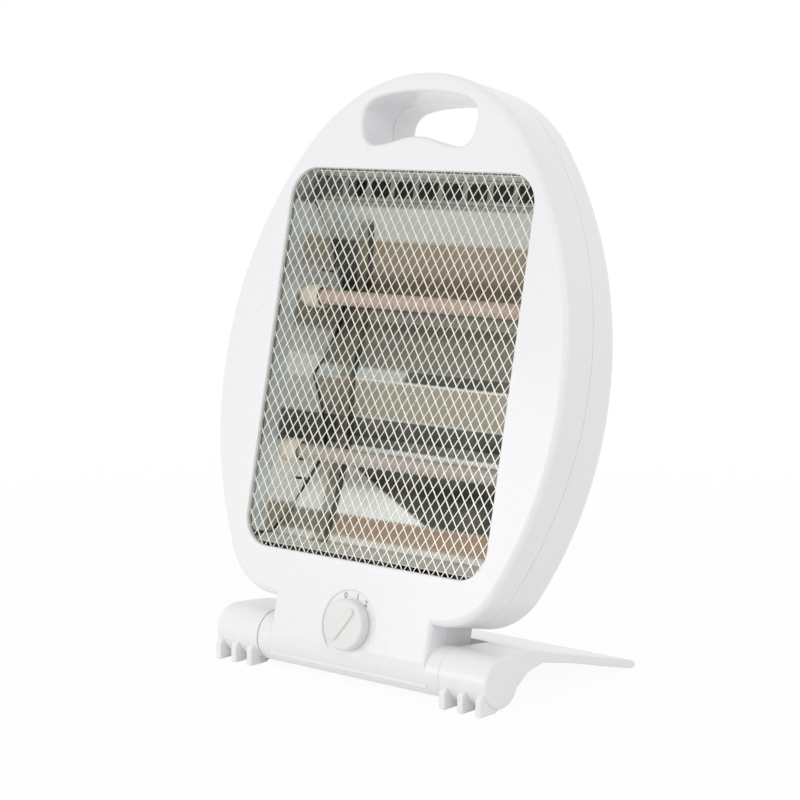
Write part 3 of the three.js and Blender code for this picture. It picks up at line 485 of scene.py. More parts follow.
face_depth = -16.6
rear_depth = 39.0
wall = 2.4
half_width = cad_high.x / mm
side_radius = 250.0
side_height = 172.0
corner_radius = 45.0
casing_bottom = 27.0
casing_top = 368.3
top_rise = casing_top - side_height
side_centre = half_width - side_radius
top_radius = (side_radius ** 2 - side_centre ** 2 - top_rise ** 2) / (2 * (side_radius - top_rise))
top_centre = casing_top - top_radius
corner_centre = casing_bottom + corner_radius
corner_x = side_centre + math.sqrt((side_radius - corner_radius) ** 2 - (side_height - corner_centre) ** 2)
top_tangent = math.degrees(math.atan2(top_centre - side_height, -side_centre))
corner_tangent = math.degrees(math.atan2(corner_centre - side_height, corner_x - side_centre))
neck_half = 65.0
bar_radius = 16.0
neck_foot = -11.0
bar_end = 75.55
journal_bore = 8.45
journal_bore_end = 61.5
opening_width = 199.0
opening_height = 248.0
opening_centre = 180.9
opening_radius = 20.0
rim_rounding = 1.1
dial_height = 17.3
dial_radius = 21.6
dial_floor = face_depth + 1.2
hole_half = 46.5
hole_low = 320.8
hole_high = 355.5
hole_bump = 6.0
side_rounding = 4.8               # of the front edge, up the sides
handle_rounding = 6.8             # of both edges, over the handle
largest_rounding = 12.0           # of the rear edge, up the sides
hole_rounding = 2.8
neck_rounding = 3.0
# Bounds of the painted shade on the walls behind the reflector.
painted_shade_foot = 66.0
painted_shade_head = 306.0
painted_shade_half = 90.0


def painted_shade_inside(place):
    """1 on the walls behind the reflector, which get painted shade, and 0 on the rest of the shells."""
    return (place.along(hinge, -forward).band(8 * mm, (rear_depth - wall + 0.5) * mm, 0.1 * mm)
            * place.along(hinge, upward).band(painted_shade_foot * mm, painted_shade_head * mm, 2 * mm)
            * place.along(hinge, (1, 0, 0)).band(-painted_shade_half * mm, painted_shade_half * mm, 3 * mm))


casing_plastic = moulded_plastic(
    "casing_plastic", rgb(242, 242, 243), rgb(240, 240, 242), 0.24, painted_shade_inside)


def egg(name, start, *neck):
    """The casing's outline as a flat face: five arcs that run into each other over a straight foot, or
    over a neck."""
    return draw(name, start, [
        *neck,
        (corner_x, casing_bottom),
        (corner_x, corner_centre, 90 + corner_tangent, 14),
        (side_centre, side_height, top_tangent - corner_tangent, 40),
        (0, top_centre, 180 - 2 * top_tangent, 56),
        (-side_centre, side_height, top_tangent - corner_tangent, 40),
        (-corner_x, corner_centre, 90 + corner_tangent, 14),
    ])


def shrink(outline, inset):
    """Moves a flat outline's points in by a distance, square to the outline."""
    mesh = outline.data
    places = [mesh.vertices[i].co.copy() for i in mesh.polygons[0].vertices]
    count = len(places)
    area = sum(places[i].x * places[(i + 1) % count].z - places[(i + 1) % count].x * places[i].z
               for i in range(count))
    for i, index in enumerate(mesh.polygons[0].vertices):
        along = (places[(i + 1) % count] - places[i - 1]).normalized()
        inward = Vector((-along.z, 0, along.x)) * math.copysign(1, area)
        mesh.vertices[index].co = places[i] + inward * inset * mm
    return outline


def kidney(name, front, back):
    """The carrying hole as a slab: a soft bump below, low points either side of it, round ends."""
    w, low, high = hole_half, hole_low, hole_high
    knots = [
        ((-0.3 * w, low + hole_bump), (0, low + hole_bump), (0.3 * w, low + hole_bump)),
        ((0.45 * w, low), (0.75 * w, low), (0.92 * w, low)),
        ((w, low + 7.5), (w, low + 18), (w, high - 9)),
        ((0.9 * w, high - 5), (0.68 * w, high - 3), (0.45 * w, high - 0.7)),
        ((0.2 * w, high), (0, high), (-0.2 * w, high)),
    ]
    left = [tuple((-x, z) for x, z in reversed(knot)) for knot in reversed(knots[1:4])]
    bpy.ops.object.select_all(action="DESELECT")
    bpy.ops.curve.primitive_bezier_circle_add(radius=1)
    curve = bpy.context.object
    curve.data.dimensions = "2D"
    curve.data.fill_mode = "NONE"
    curve.data.resolution_u = 14
    spline = curve.data.splines[0]
    spline.bezier_points.add(4)
    for point, (before, at, after) in zip(spline.bezier_points, knots + left):
        point.handle_left_type = point.handle_right_type = "FREE"
        point.handle_left = (before[0] * mm, before[1] * mm, 0)
        point.co = (at[0] * mm, at[1] * mm, 0)
        point.handle_right = (after[0] * mm, after[1] * mm, 0)
    curve.rotation_euler = (math.radians(90), 0, 0)
    only(curve)
    bpy.ops.object.convert(target="MESH")
    outline = settle(bpy.context.object)
    outline.name = name
    with editing(outline):
        bpy.ops.mesh.remove_doubles(threshold=0.02 * mm)
        bpy.ops.mesh.select_all(action="SELECT")
        bpy.ops.mesh.edge_face_add()
    return raise_outline(outline, front, back)


def rounded_slab(name, width, height, radius, centre, front, back, steps=8):
    """A slab with a rounded-corner outline."""
    x, z = width / 2 - radius, height / 2 - radius
    flat = draw(name, (-x, centre - z - radius), [
        (x, centre - z - radius), (x, centre - z, 90, steps),
        (x + radius, centre + z), (x, centre + z, 90, steps),
        (-x, centre + z + radius), (-x, centre + z, 90, steps),
        (-x - radius, centre - z), (-x, centre - z, 90, steps),
    ])
    return raise_outline(flat, front, back)


def plug_forward(name, radius, front, back, x, height, sides=48):
    """A round bar along the depth."""
    bar = add(bpy.ops.mesh.primitive_cylinder_add, radius=radius * mm, depth=(back - front) * mm,
              vertices=sides, location=(x * mm, (front + back) / 2 * mm, height * mm),
              rotation=(math.radians(90), 0, 0))
    bar.name = name
    return bar


def ease(share):
    """From 0 to 1 with a share, starting and ending gently."""
    share = min(1, max(0, share))
    return share * share * (3 - 2 * share)


def front_rounding(height):
    """The rounding of the front edge, which grows towards the handle."""
    return side_rounding + (handle_rounding - side_rounding) * ease((height - 325) / 25)


def rear_rounding(height):
    """The rounding of the rear edge, which shrinks towards the handle."""
    return largest_rounding - (largest_rounding - handle_rounding) * ease((height - 318) / 34)


def in_hole(spot):
    """True for a place on the wall of the carrying hole."""
    return abs(spot.x) < (hole_half + 0.3) * mm and (hole_low - 0.3) * mm < spot.z < (hole_high + 0.3) * mm


def on_outline(spot):
    """True for a place on the outer edge of the casing's face."""
    x, z = abs(spot.x) / mm, spot.z / mm
    if z < casing_bottom + 0.05:
        return abs(x - neck_half) < 0.1 or (abs(z - casing_bottom) < 0.05 and x > neck_half - 0.1)
    if z > top_centre + top_radius * math.sin(math.radians(top_tangent)):
        centre, radius = (0, top_centre), top_radius
    elif z > corner_centre + corner_radius * math.sin(math.radians(corner_tangent)):
        centre, radius = (side_centre, side_height), side_radius
    else:
        centre, radius = (corner_x, corner_centre), corner_radius
    return abs(math.hypot(x - centre[0], z - centre[1]) - radius) < 0.3


def past_corners(spot):
    """How far a place lies past the centres of the opening's round corners, in x and in height."""
    x = abs(spot.x) / mm - opening_width / 2 + opening_radius
    z = abs(spot.z / mm - opening_centre) - opening_height / 2 + opening_radius
    return x, z


def on_opening(spot):
    """True for a place on the outline of the opening for the net."""
    x, z = past_corners(spot)
    gap = math.hypot(max(x, 0), max(z, 0)) - opening_radius
    return abs(gap) < 0.1 or (min(x, z) < 0 and abs(max(x, z) - opening_radius) < 0.02)


def on_dial(spot):
    """True for a place on the rim of the dial's recess, above the neck's foot."""
    at_rim = abs(math.hypot(spot.x, spot.z - dial_height * mm) - dial_radius * mm) < 0.05 * mm
    return at_rim and spot.z > 7 * mm


def casing_rounding(a, b):
    """Share of the largest rounding for an edge between two places."""
    height = (a.z + b.z) / 2 / mm
    at_front = max(abs(a.y - face_depth * mm), abs(b.y - face_depth * mm)) < 0.01 * mm
    at_rear = max(abs(a.y - rear_depth * mm), abs(b.y - rear_depth * mm)) < 0.01 * mm
    if not (at_front or at_rear):
        return 0
    if in_hole(a) and in_hole(b):
        return hole_rounding / largest_rounding
    if at_front and (on_opening(a) and on_opening(b) or on_dial(a) and on_dial(b)):
        return rim_rounding / largest_rounding
    if not (on_outline(a) and on_outline(b)):
        return 0
    if at_rear:
        return rear_rounding(height) / largest_rounding
    if height < casing_bottom - 0.5:
        return neck_rounding / largest_rounding if abs(a.x - b.x) < 0.1 * mm else 0
    return front_rounding(height) / largest_rounding


neck = [
    (-neck_half, casing_bottom), (-neck_half, neck_foot),
    (neck_half, neck_foot), (neck_half, casing_bottom),
]
below_neck = -30
tool_half = 80                    # wider than the neck
casing = raise_outline(egg("casing", (-corner_x, casing_bottom), *neck), face_depth, rear_depth)
neck_rear = [(25, casing_bottom), (25, 8), (19, 0), (12.5, -9.8), (12.5, below_neck)]
cut(casing, across("behind_neck", [*neck_rear, (60, below_neck), (60, casing_bottom)], tool_half))
neck_front = [(face_depth, 3.5), (-15.9, -2), (-13, -9.5), (-11, below_neck)]
cut(casing, across("under_neck", [(-30, 3.5), *neck_front, (-30, below_neck)], tool_half))
cut(casing, kidney("hole", face_depth - 5, rear_depth + 5))

# The hollow inside, which stays clear of the carrying hole.
handle_block_foot = 306.4
handle_block_height = 90.0
hollow = shrink(egg("hollow", (-corner_x, casing_bottom)), wall)
raise_outline(hollow, face_depth + wall, rear_depth - wall)
soften(hollow, 7, 3, angle=60)
join(hollow, across("neck_hollow", [
    (face_depth + wall + 0.01, 60), (face_depth + wall + 0.01, 0), (-10, -8), (8, -8), (22, 10), (22, 60),
], neck_half - wall))
cut(hollow, rounded_slab("handle_block", 130, handle_block_height, 20,
                         handle_block_foot + handle_block_height / 2, -40, 60))
cut(casing, hollow)
cut(casing, rounded_slab("opening", opening_width, opening_height, opening_radius, opening_centre,
                         face_depth - 5, face_depth + 2 * wall, 10))
cut(casing, plug_forward("dial_recess", dial_radius, face_depth - 5, dial_floor, 0, dial_height, 96))
cut(casing, plug_forward("shaft_hole", 3.3, face_depth - 5, 0, 0, dial_height))
with editing(casing, "FACE"):
    bpy.ops.mesh.dissolve_limited(angle_limit=math.radians(0.2))
soften(casing, largest_rounding, 9, casing_rounding)
hinge_bar = round_bar(bar_radius, -bar_end, bar_end, sides=96)
soften(hinge_bar, 0.6, 3, angle=40)
for side in (-1, 1):
    cut(hinge_bar, round_bar(journal_bore, *sorted((side * journal_bore_end, side * 80)), sides=48))
join(casing, hinge_bar)

seam_lean = math.radians(2.6)
seam_gap = 0.3
block_size = 1.0                  # metres, more than the casing in every direction


def seam_block(name, behind):
    """All the space in front of the joint of the shells, or behind it."""
    block = add(bpy.ops.mesh.primitive_cube_add, size=block_size, location=(0, 0, 0))
    shift = block_size / 2 + seam_gap * mm if behind else -block_size / 2
    block.matrix_world = Matrix.Rotation(-seam_lean, 4, "X") @ Matrix.Translation((0, shift, 0))
    block.name = name
    return settle(block)


def twin(piece):
    """A copy of a piece, with a mesh of its own."""
    made = add(bpy.ops.mesh.primitive_plane_add, size=1)
    made.data = piece.data.copy()
    return made


rear_casing = twin(casing)
combine(casing, seam_block("before", False), "INTERSECT")
combine(rear_casing, seam_block("behind", True), "INTERSECT")


def group(pieces):
    """Joins pieces that don't touch into one object."""
    bpy.ops.object.select_all(action="DESELECT")
    for piece in pieces:
        piece.select_set(True)
    bpy.context.view_layer.objects.active = pieces[0]
    bpy.ops.object.join()
    return bpy.context.object


# Rear shell: three rows of cooling slots, wells for the long screws and the cord's hole.
screw_places = [(side * x, height) for x, height in ((66, 326), (121, 150), (50, 41)) for side in (-1, 1)]
screw_web = 3.3
boss_radius = 5.6
well_radius = 4.0
thread_radius = 1.9


def seam_depth(height):
    """How far the joint of the shells lies behind the tilt axis at a height."""
    return height * math.tan(seam_lean)


join(rear_casing, group([
    plug_forward("boss", boss_radius, seam_depth(z) + seam_gap + 0.1, rear_depth - wall / 2, x, z)
    for x, z in screw_places]))
cut(rear_casing, group([
    plug_forward("well", well_radius, seam_depth(z) + screw_web, rear_depth + 5, x, z)
    for x, z in screw_places]))
cut(rear_casing, group([
    plug_forward("bore", thread_radius, seam_depth(z) - 5, seam_depth(z) + 5, x, z, 24)
    for x, z in screw_places]))
slot_top = 292.0
slot_pitch = (30.0, 14.0)
slot_width = 24
slot_rise = 5
slot_rounding = 2.3
slots = group([
    rounded_slab("slot", slot_width, slot_rise, slot_rounding, slot_top - row * slot_pitch[1],
                 rear_depth - 2 * wall, rear_depth + 5, 5)
    for row in range(3)])
slot_rows = [slots]
for column in (-2, -1, 1, 2):
    copy = twin(slots)
    copy.location.x = column * slot_pitch[0] * mm
    slot_rows.append(settle(copy))
cut(rear_casing, group(slot_rows))
cord_hole_height = 50.0
cord_hole_radius = 6.8
cut(rear_casing, plug_forward("cord_hole", cord_hole_radius, rear_depth - 8, rear_depth + 5, 0,
                              cord_hole_height))
for shell, name in ((casing, "front_casing"), (rear_casing, "rear_casing")):
    lean_back(shell)
    polish(shell)
    mount(shell, name + "_shell", "casing", casing_plastic, "white_plastic", name)

# ------------------------------------------------------------------ grille
# A net of bright expanded metal: one sheet slit and pulled into diamonds, so that every strand is a
# little twisted. Its flat border lies behind the rim of the opening.
net_depth = -13.4
diamond_width = 7.4
diamond_height = 10.65
strand = 0.56
net_thickness = 0.45
strand_twist = 0.2
border = 2.5
mesh_material, mesh_place, mesh_surface = new_material("chromed_net")
fill(mesh_place, mesh_surface,
     Base_Color=mesh_place.noise(80, 2).mix(rgb(248, 248, 240), rgb(238, 238, 228)),
     Roughness=0.22 + 0.15 * mesh_place.noise(300, 2), Metallic=0.6)


def drop_faces(piece, unwanted):
    """Takes away the faces of a piece whose centre passes a test."""
    with editing(piece, "FACE"):
        bpy.ops.mesh.select_all(action="DESELECT")
    for face in piece.data.polygons:
        face.select = unwanted(face.center)
    with editing(piece, "FACE", picked=True):
        bpy.ops.mesh.delete(type="FACE")


def repeat(piece, count, step):
    """Repeats a piece a number of times, each a step further on."""
    modify(piece, "ARRAY", count=count, use_relative_offset=False, use_constant_offset=True,
           constant_offset_displace=step)


def beyond_border(spot):
    """True for a place that lies past the net's border."""
    x, z = past_corners(spot)
    return max(math.hypot(max(x, 0), max(z, 0)), max(x, z)) > opening_radius + border - 0.4


def thicken(piece, thickness):
    """Gives a sheet its thickness, half to each side."""
    return modify(piece, "SOLIDIFY", thickness=thickness * mm, offset=0, use_even_offset=True)


def ring_plate(name, outside, inside, front, back, radius):
    """A flat frame round the opening, from a margin outside it to one inside."""
    plate = rounded_slab(name, opening_width + 2 * outside, opening_height + 2 * outside,
                         opening_radius + outside, opening_centre, front, back)
    cut(plate, rounded_slab("inner", opening_width + 2 * inside, opening_height + 2 * inside,
                            opening_radius + inside, opening_centre, front - 2, back + 2))
    return soften(plate, radius, 2, angle=50)


net = add(bpy.ops.mesh.primitive_plane_add, size=1, rotation=(math.radians(90), 0, 0))
net.rotation_euler = (0, math.radians(45), 0)
settle(net)
net.scale = (diamond_width * mm / math.sqrt(2), 1, diamond_height * mm / math.sqrt(2))
settle(net)
with editing(net, "FACE"):
    bpy.ops.mesh.inset(thickness=strand / 2 * mm)
    bpy.ops.mesh.delete(type="FACE")
for vertex in net.data.vertices:
    x, z = abs(vertex.co.x) / mm, vertex.co.z / mm
    if x < diamond_width / 2 - 0.1 and 0.1 < abs(z) < diamond_height / 2 - 0.1:
        vertex.co.y = -math.copysign(strand_twist * mm, z)
columns = math.ceil((opening_width + 2 * border) / diamond_width) + 2
rows = math.ceil((opening_height + 2 * border) / diamond_height) + 2
repeat(net, 2, (diamond_width / 2 * mm, 0, diamond_height / 2 * mm))
repeat(net, columns, (diamond_width * mm, 0, 0))
repeat(net, rows, (0, 0, diamond_height * mm))
net.location = (-(columns - 0.5) / 2 * diamond_width * mm, net_depth * mm,
                (opening_centre - (rows - 0.5) / 2 * diamond_height) * mm)
settle(net)
drop_faces(net, beyond_border)
weld(net)
thicken(net, net_thickness)
net_border = ring_plate("net_border", border, -0.1, net_depth - 0.25, net_depth + 0.25, 0.08)
net = group([net, net_border])
lean_back(net)
only(net)
bpy.ops.object.shade_flat()
mount(net, "expanded_metal_net", "casing", mesh_material, "mesh_metal", "grille_mesh")

# ------------------------------------------------------------------ press frame
# A flat ring of rolled steel behind the net, all round the opening. It presses the net's border
# against the back of the rim.
frame_material, frame_place, frame_surface = new_material("rolled_steel")
fill(frame_place, frame_surface,
     Base_Color=frame_place.noise(40, 3).mix(rgb(196, 199, 198), rgb(180, 184, 183)),
     Roughness=0.32 + 0.12 * frame_place.noise(200, 3, (1, 1, 8)), Metallic=1.0)
frame_front = -12.6
frame_back = -11.1
press_frame = ring_plate("press_frame", border, 0.4, frame_front, frame_back, 0.3)
lean_back(press_frame)
polish(press_frame)
mount(press_frame, "net_frame", "casing", frame_material, "frame_metal", "grille_frame")

# ------------------------------------------------------------------ reflector
# One sheet of bright aluminium folded into two troughs, one behind each tube, with a slotted strip
# above them for the warm air. Its colour has painted bands of reflection and shade, with some brown heat
# tint.
sheet = 0.8
vent_count = 9
vent_pitch = 20.0
vent_width = 16.0
vent_rise = 11.0
vent_rounding = 1.2
recess_front = -10.8
ridge_height = 172.3
upper_reach = 112.0
lower_reach = 107.0
plate_half = 99.9
plate_bend = 1.5
trough_depth = 35.0
plate_inner = 84.8
trough_line = [                   # share of a trough's reach from the ridge, depth
    (0, 21), (0.1, 25.5), (0.22, 30.5), (0.35, 34.5), (0.46, 34.7), (0.54, 32), (0.65, 27), (0.83, 19),
    (1, 7.5),
]
upper_line = [(depth, ridge_height + share * upper_reach) for share, depth in trough_line]
lower_line = [(depth, ridge_height - share * lower_reach) for share, depth in trough_line[1:]][::-1]
opening_foot = opening_centre - opening_height / 2
opening_head = opening_centre + opening_height / 2
lip_gap = 2.8                     # dark slit under the reflector, along the foot of the opening
strip_depth = 3.5
strip_foot = ridge_height + upper_reach + 3
strip_head = opening_head - 2
reflector_line = [
    (recess_front, opening_foot + lip_gap), *lower_line, *upper_line, (strip_depth, strip_foot),
    (strip_depth, strip_head), (recess_front, opening_head - 1),
]
tube_depth = 12.0
tube_offset = 51.4                # of a tube's axis from the ridge
tube_heights = {"lower": ridge_height - tube_offset, "upper": ridge_height + tube_offset}
# Place of the painted reflection of an upright edge, which runs through the reflector's bands.
reflected_edge_left = 45.0
reflected_edge_slant = 0.55
reflected_edge_foot = 62.0
reflected_edge_head = 272.0
reflected_edge_stripes = [                # from, to, width of the edges, strength and colour
    (-11, -3, 1.5, 0.7, rgb(140, 133, 112)), (-2.5, 1.5, 1, 0.9, rgb(52, 50, 44)),
]


def bright_metal(name, clean, front_tint, bands, shine):
    """Rolled bright aluminium, with painted bands along the tubes: reflections and shade, light and dark,
    and some brown heat tint among them. A band has its lower and upper height, the width of its edges,
    its colour, and a colour left of a slanting edge given by its place at the band's lower height and its
    run to the left going up. A tan and a dark stripe, the painted reflection of an upright edge, run
    upright through the bands, further left the deeper they lie. What lies in front of the tilt axis has a
    lighter tint of its own, a painted reflection."""
    material, place, surface = new_material(name)
    height = place.along(hinge, upward)
    depth = place.along(hinge, -forward)
    rolled = place.noise(220, 3, (0.02, 1, 1))
    colour = clean
    for low, high, soft, tint, *edge in bands:
        if edge:
            left_tint, foot, run = edge
            beyond = place.along((foot * mm, 0, 0), (1, 0, 0)) + run * (height - low * mm)
            tint = beyond.step(-3 * mm, 3 * mm).mix(left_tint, tint)
        colour = height.band(low * mm, high * mm, soft * mm).mix(colour, tint)
    # painted reflection: an upright tan and dark stripe, the mirrored image of an upright edge
    reflected_edge = place.along((-reflected_edge_left * mm, 0, 0), (1, 0, 0)) + reflected_edge_slant * depth
    tall = height.band(reflected_edge_foot * mm, reflected_edge_head * mm, 6 * mm)
    for start, end, soft, strength, tint in reflected_edge_stripes:
        colour = (strength * tall * reflected_edge.band(start * mm, end * mm, soft * mm)).mix(colour, tint)
    uneven = place.noise(40, 3).step(0.35, 0.75) * 0.25
    # painted reflection: the walls in front of the tilt axis get a lighter tint
    wall_side = 1 - depth.step(1 * mm, 3 * mm)
    colour = wall_side.mix(colour, front_tint)
    fill(place, surface, Base_Color=uneven.mix(colour, rgb(178, 170, 156)),
         Metallic=shine * (1 - 0.6 * wall_side) * (0.55 + 0.45 * height.step(66 * mm, 74 * mm)),
         Roughness=0.26 + 0.1 * rolled, Normal=rolled.bump(0.06, 0.1 * mm))
    return material


# Colours of the painted reflections and shade in the reflector's bands; the brown one is partly heat tint.
grey_reflection = rgb(134, 132, 121)
dark_reflection = rgb(78, 80, 76)
heat_tint_and_reflection = rgb(147, 133, 115)
cream = rgb(168, 162, 147)
bright = rgb(250, 252, 250)
# The trough's bands are painted reflections and shade, light and dark; the strip with the vents is painted
# darker, as shade.
trough_metal = bright_metal("bright_aluminium", rgb(205, 209, 204), rgb(248, 248, 243), [
    (56, 69, 3, rgb(236, 236, 228)), (72, 82, 4, rgb(184, 156, 134), rgb(150, 146, 132), -48, 0),
    (85, 115, 2, dark_reflection, bright, 20, 2.5), (130, 147, 2, dark_reflection, rgb(82, 86, 82), -55, 0),
    (150, 171, 2, cream), (174, 180, 1.5, rgb(84, 85, 80), rgb(205, 212, 208), -14, 0), (182, 222, 3, grey_reflection),
    (226, 262, 4, heat_tint_and_reflection, dark_reflection, -62, 0), (287, 304, 1, rgb(130, 132, 126)),
], 0.85)


def folded_sheet(name, path, half_length, bend=1.2):
    """A sheet folded along x: a side path of (depth, height) points, with small bend radii."""
    strip = draw(name, path[0], path[1:], closed=False)
    with editing(strip, "EDGE"):
        bpy.ops.transform.translate(value=(0, -half_length * mm, 0))
        bpy.ops.mesh.extrude_region_move(TRANSFORM_OT_translate={"value": (0, 2 * half_length * mm, 0)})
    soften(strip, bend, 3, angle=4)
    strip.matrix_world = Matrix.Rotation(math.radians(90), 4, "Z")
    settle(strip)
    return thicken(strip, sheet)


def plan_slab(name, plan, low, high):
    """A slab with a plan of (x, depth) points, from one height to another."""
    slab = draw(name, plan[0], plan[1:])
    raise_outline(slab, -high, -low)
    slab.matrix_world = Matrix.Rotation(math.radians(-90), 4, "X")
    return settle(slab)


def plate_x(depth):
    """Half the width between the end plates at a depth."""
    slanting = max(0, depth - plate_bend)
    return plate_half - slanting * (plate_half - plate_inner) / (trough_depth - plate_bend)


reflector = folded_sheet("reflector", reflector_line, plate_half)
inner = 1.6                       # the reflector stays this far within its end plates
combine(reflector, plan_slab("plan", [
    (-plate_half + inner, -20), (plate_half - inner, -20), (plate_half - inner, plate_bend),
    (plate_x(45) - inner, 45), (-plate_x(45) + inner, 45), (-plate_half + inner, plate_bend),
], 0, 400), "INTERSECT")
vent_height = (strip_foot + strip_head) / 2
vents = []
for i in range(vent_count):
    vent = rounded_slab("vent", vent_width, vent_rise, vent_rounding, vent_height, 0, 15, 3)
    vent.location.x = (i - (vent_count - 1) / 2) * vent_pitch * mm
    vents.append(settle(vent))
cut(reflector, group(vents))
lean_back(reflector)
polish(reflector, 12)
mount(reflector, "double_trough_reflector", "casing", trough_metal, "polished_metal", "reflector")

# ------------------------------------------------------------------ end plates
# Two plates of the same bright aluminium close the troughs' ends. Each is a straight wall in front and
# slants inwards behind, with two holes for the tubes' caps and small lances cut beside them.
# The end plates' bands are painted reflections and shade, light and dark.
plate_metal = bright_metal("end_plate_aluminium", rgb(214, 218, 214), rgb(228, 238, 243), [
    (60, 84, 4, cream), (88, 114, 3, bright), (128, 146, 3, dark_reflection), (172, 184, 3, bright),
    (205, 222, 4, grey_reflection), (226, 246, 4, rgb(196, 202, 198)), (247, 262, 5, cream),
], 0.55)
cap_radius = 7.7
lance_width = 1.6
lance_near = 16.0                 # depth of a lance's front end
lance_far = 25.0
lance_foot = 19.0                 # beyond the tube's axis, away from the ridge
lance_head = 27.0
hole_start = 80.0                 # a cap's hole is cut outwards through the plate, from here
hole_end = 110.0                  # to here
lance_middle = 92.0               # a lance is cut from side to side through the slanting part
lance_reach = 30.0
for side, label in ((-1, "left"), (1, "right")):
    path = [(side * plate_half, recess_front), (side * plate_half, plate_bend),
            (side * plate_x(trough_depth + 2), trough_depth + 2)]
    plate = draw("end", path[0], path[1:], closed=False)
    with editing(plate, "EDGE"):
        bpy.ops.transform.translate(value=(0, -(ridge_height + upper_reach) * mm, 0))
        bpy.ops.mesh.extrude_region_move(
            TRANSFORM_OT_translate={"value": (0, (upper_reach + lower_reach) * mm, 0)})
    soften(plate, 1.2, 3, angle=4)
    plate.matrix_world = Matrix.Rotation(math.radians(-90), 4, "X")
    thicken(settle(plate), sheet)
    outline = [(recess_front - 5, ridge_height - lower_reach), *lower_line, *upper_line,
               (recess_front - 5, ridge_height + upper_reach)]
    room = across("trough_room", [(depth - inner, height) for depth, height in outline], 150)
    combine(plate, room, "INTERSECT")
    ends = sorted((side * hole_start, side * hole_end))
    cut(plate, group([round_bar(cap_radius + 0.3, *ends, depth=tube_depth, height=height)
                      for height in tube_heights.values()]))
    for height in tube_heights.values():
        away = math.copysign(1, height - ridge_height)
        for front, back, foot, head in (
                (lance_near, lance_far, lance_foot - lance_width, lance_foot),
                (lance_far - lance_width, lance_far, lance_foot, lance_head)):
            lance_height = height + away * (foot + head) / 2
            cut(plate, add(
                bpy.ops.mesh.primitive_cube_add, size=1,
                location=(side * lance_middle * mm, (front + back) / 2 * mm, lance_height * mm),
                scale=(lance_reach * mm, (back - front) * mm, (head - foot) * mm)))
    lean_back(plate)
    polish(plate, 12)
    mount(plate, f"reflector_end_plate_{label}", "casing", plate_metal, "polished_metal",
          f"reflector_end_{label}")

# ------------------------------------------------------------------ quartz tubes
# Two straight tubes of satin quartz glass, one in front of each trough. Their ends sit in the seats of
# ceramic caps.
tube_radius = 5.0
tube_wall = 1.0
cap_inside = 11.2                 # length of a cap inside its end plate
cap_outside = 8.5
cap_seat = 7.5                    # how far a tube goes into its cap
cap_face = plate_x(tube_depth) - cap_inside
cap_end = plate_x(tube_depth) + cap_outside
tube_end = cap_face + cap_seat


def turned(name, profile, steps=64):
    """A ring turned about the x axis from a closed outline of (x, radius) points."""
    ring = draw(name, profile[0], [*profile[1:], profile[0]], closed=False)
    with editing(ring):
        bpy.ops.mesh.spin(steps=steps, angle=2 * math.pi, center=(0, 0, 0), axis=(1, 0, 0))
    return weld(ring)


def satin_quartz(name, colour, warm):
    """Frosted quartz glass, drawn lengthways, with a milky body that hides most of the wire."""
    material, place, surface = new_material(name)
    cloud = place.noise(60, 3, (0.3, 1, 1))
    fill(place, surface, Base_Color=cloud.mix(colour, warm), Roughness=0.3 + 0.12 * cloud,
         Normal=place.noise(500, 2, (0.1, 1, 1)).bump(0.1, 0.1 * mm),
         Transmission_Weight=0.12, IOR=1.46)
    return material


quartz_looks = {
    "lower": satin_quartz("grey_quartz", rgb(204, 194, 184), rgb(190, 180, 170)),
    "upper": satin_quartz("pink_quartz", rgb(216, 194, 182), rgb(204, 172, 156)),
}
tube_bore = tube_radius - tube_wall
for level, height in tube_heights.items():
    tube = turned("tube", [
        (-tube_end, tube_bore), (-tube_end, tube_radius), (tube_end, tube_radius), (tube_end, tube_bore)])
    soften(tube, 0.25, 2, angle=50)
    tube.location = (0, tube_depth * mm, height * mm)
    settle(tube)
    lean_back(tube)
    polish(tube)
    mount(tube, f"quartz_tube_{level}_glass", "casing", quartz_looks[level], "quartz",
          f"quartz_tube_{level}")

# ------------------------------------------------------------------ heating wires
# A resistance wire wound into a close coil lies along the inside of each tube. Its straight tails run
# out to the caps.
coil_half = 68.4
coil_radius = 2.6
coil_wire = 0.35
coil_pitch = 2.2
turn_steps = 14
wire_metal, wire_place, wire_surface = new_material("resistance_wire")
fill(wire_place, wire_surface,
     Base_Color=wire_place.noise(300, 3).mix(rgb(128, 116, 106), rgb(92, 84, 80)),
     Roughness=0.35 + 0.2 * wire_place.noise(500, 2), Metallic=1.0)
for level, height in tube_heights.items():
    bpy.ops.object.select_all(action="DESELECT")
    bpy.ops.curve.primitive_bezier_curve_add()
    curve = bpy.context.object
    curve.data.splines.clear()
    spline = curve.data.splines.new("POLY")
    steps = round(2 * coil_half / coil_pitch * turn_steps)
    spline.points.add(steps + 4)
    tail = [-tube_end, -coil_half - 4]
    route = [(x, 0, 0) for x in tail]
    for i in range(steps + 1):
        x = -coil_half + 2 * coil_half * i / steps
        opened = coil_radius * ease(min(i, steps - i) / (2 * turn_steps))
        route.append((x, opened * math.cos(2 * math.pi * i / turn_steps),
                      opened * math.sin(2 * math.pi * i / turn_steps)))
    route += [(-x, 0, 0) for x in reversed(tail)]
    for point, (x, depth, rise) in zip(spline.points, route):
        point.co = (x * mm, (depth + tube_depth) * mm, (rise + height) * mm, 1)
    curve.data.dimensions = "3D"
    curve.data.bevel_depth = coil_wire * mm
    curve.data.bevel_resolution = 1
    curve.data.use_fill_caps = True
    only(curve)
    bpy.ops.object.convert(target="MESH")
    coil = settle(bpy.context.object)
    lean_back(coil)
    polish(coil, 60)
    mount(coil, f"heating_wire_{level}", "casing", wire_metal, "coil_metal", f"heating_coil_{level}")

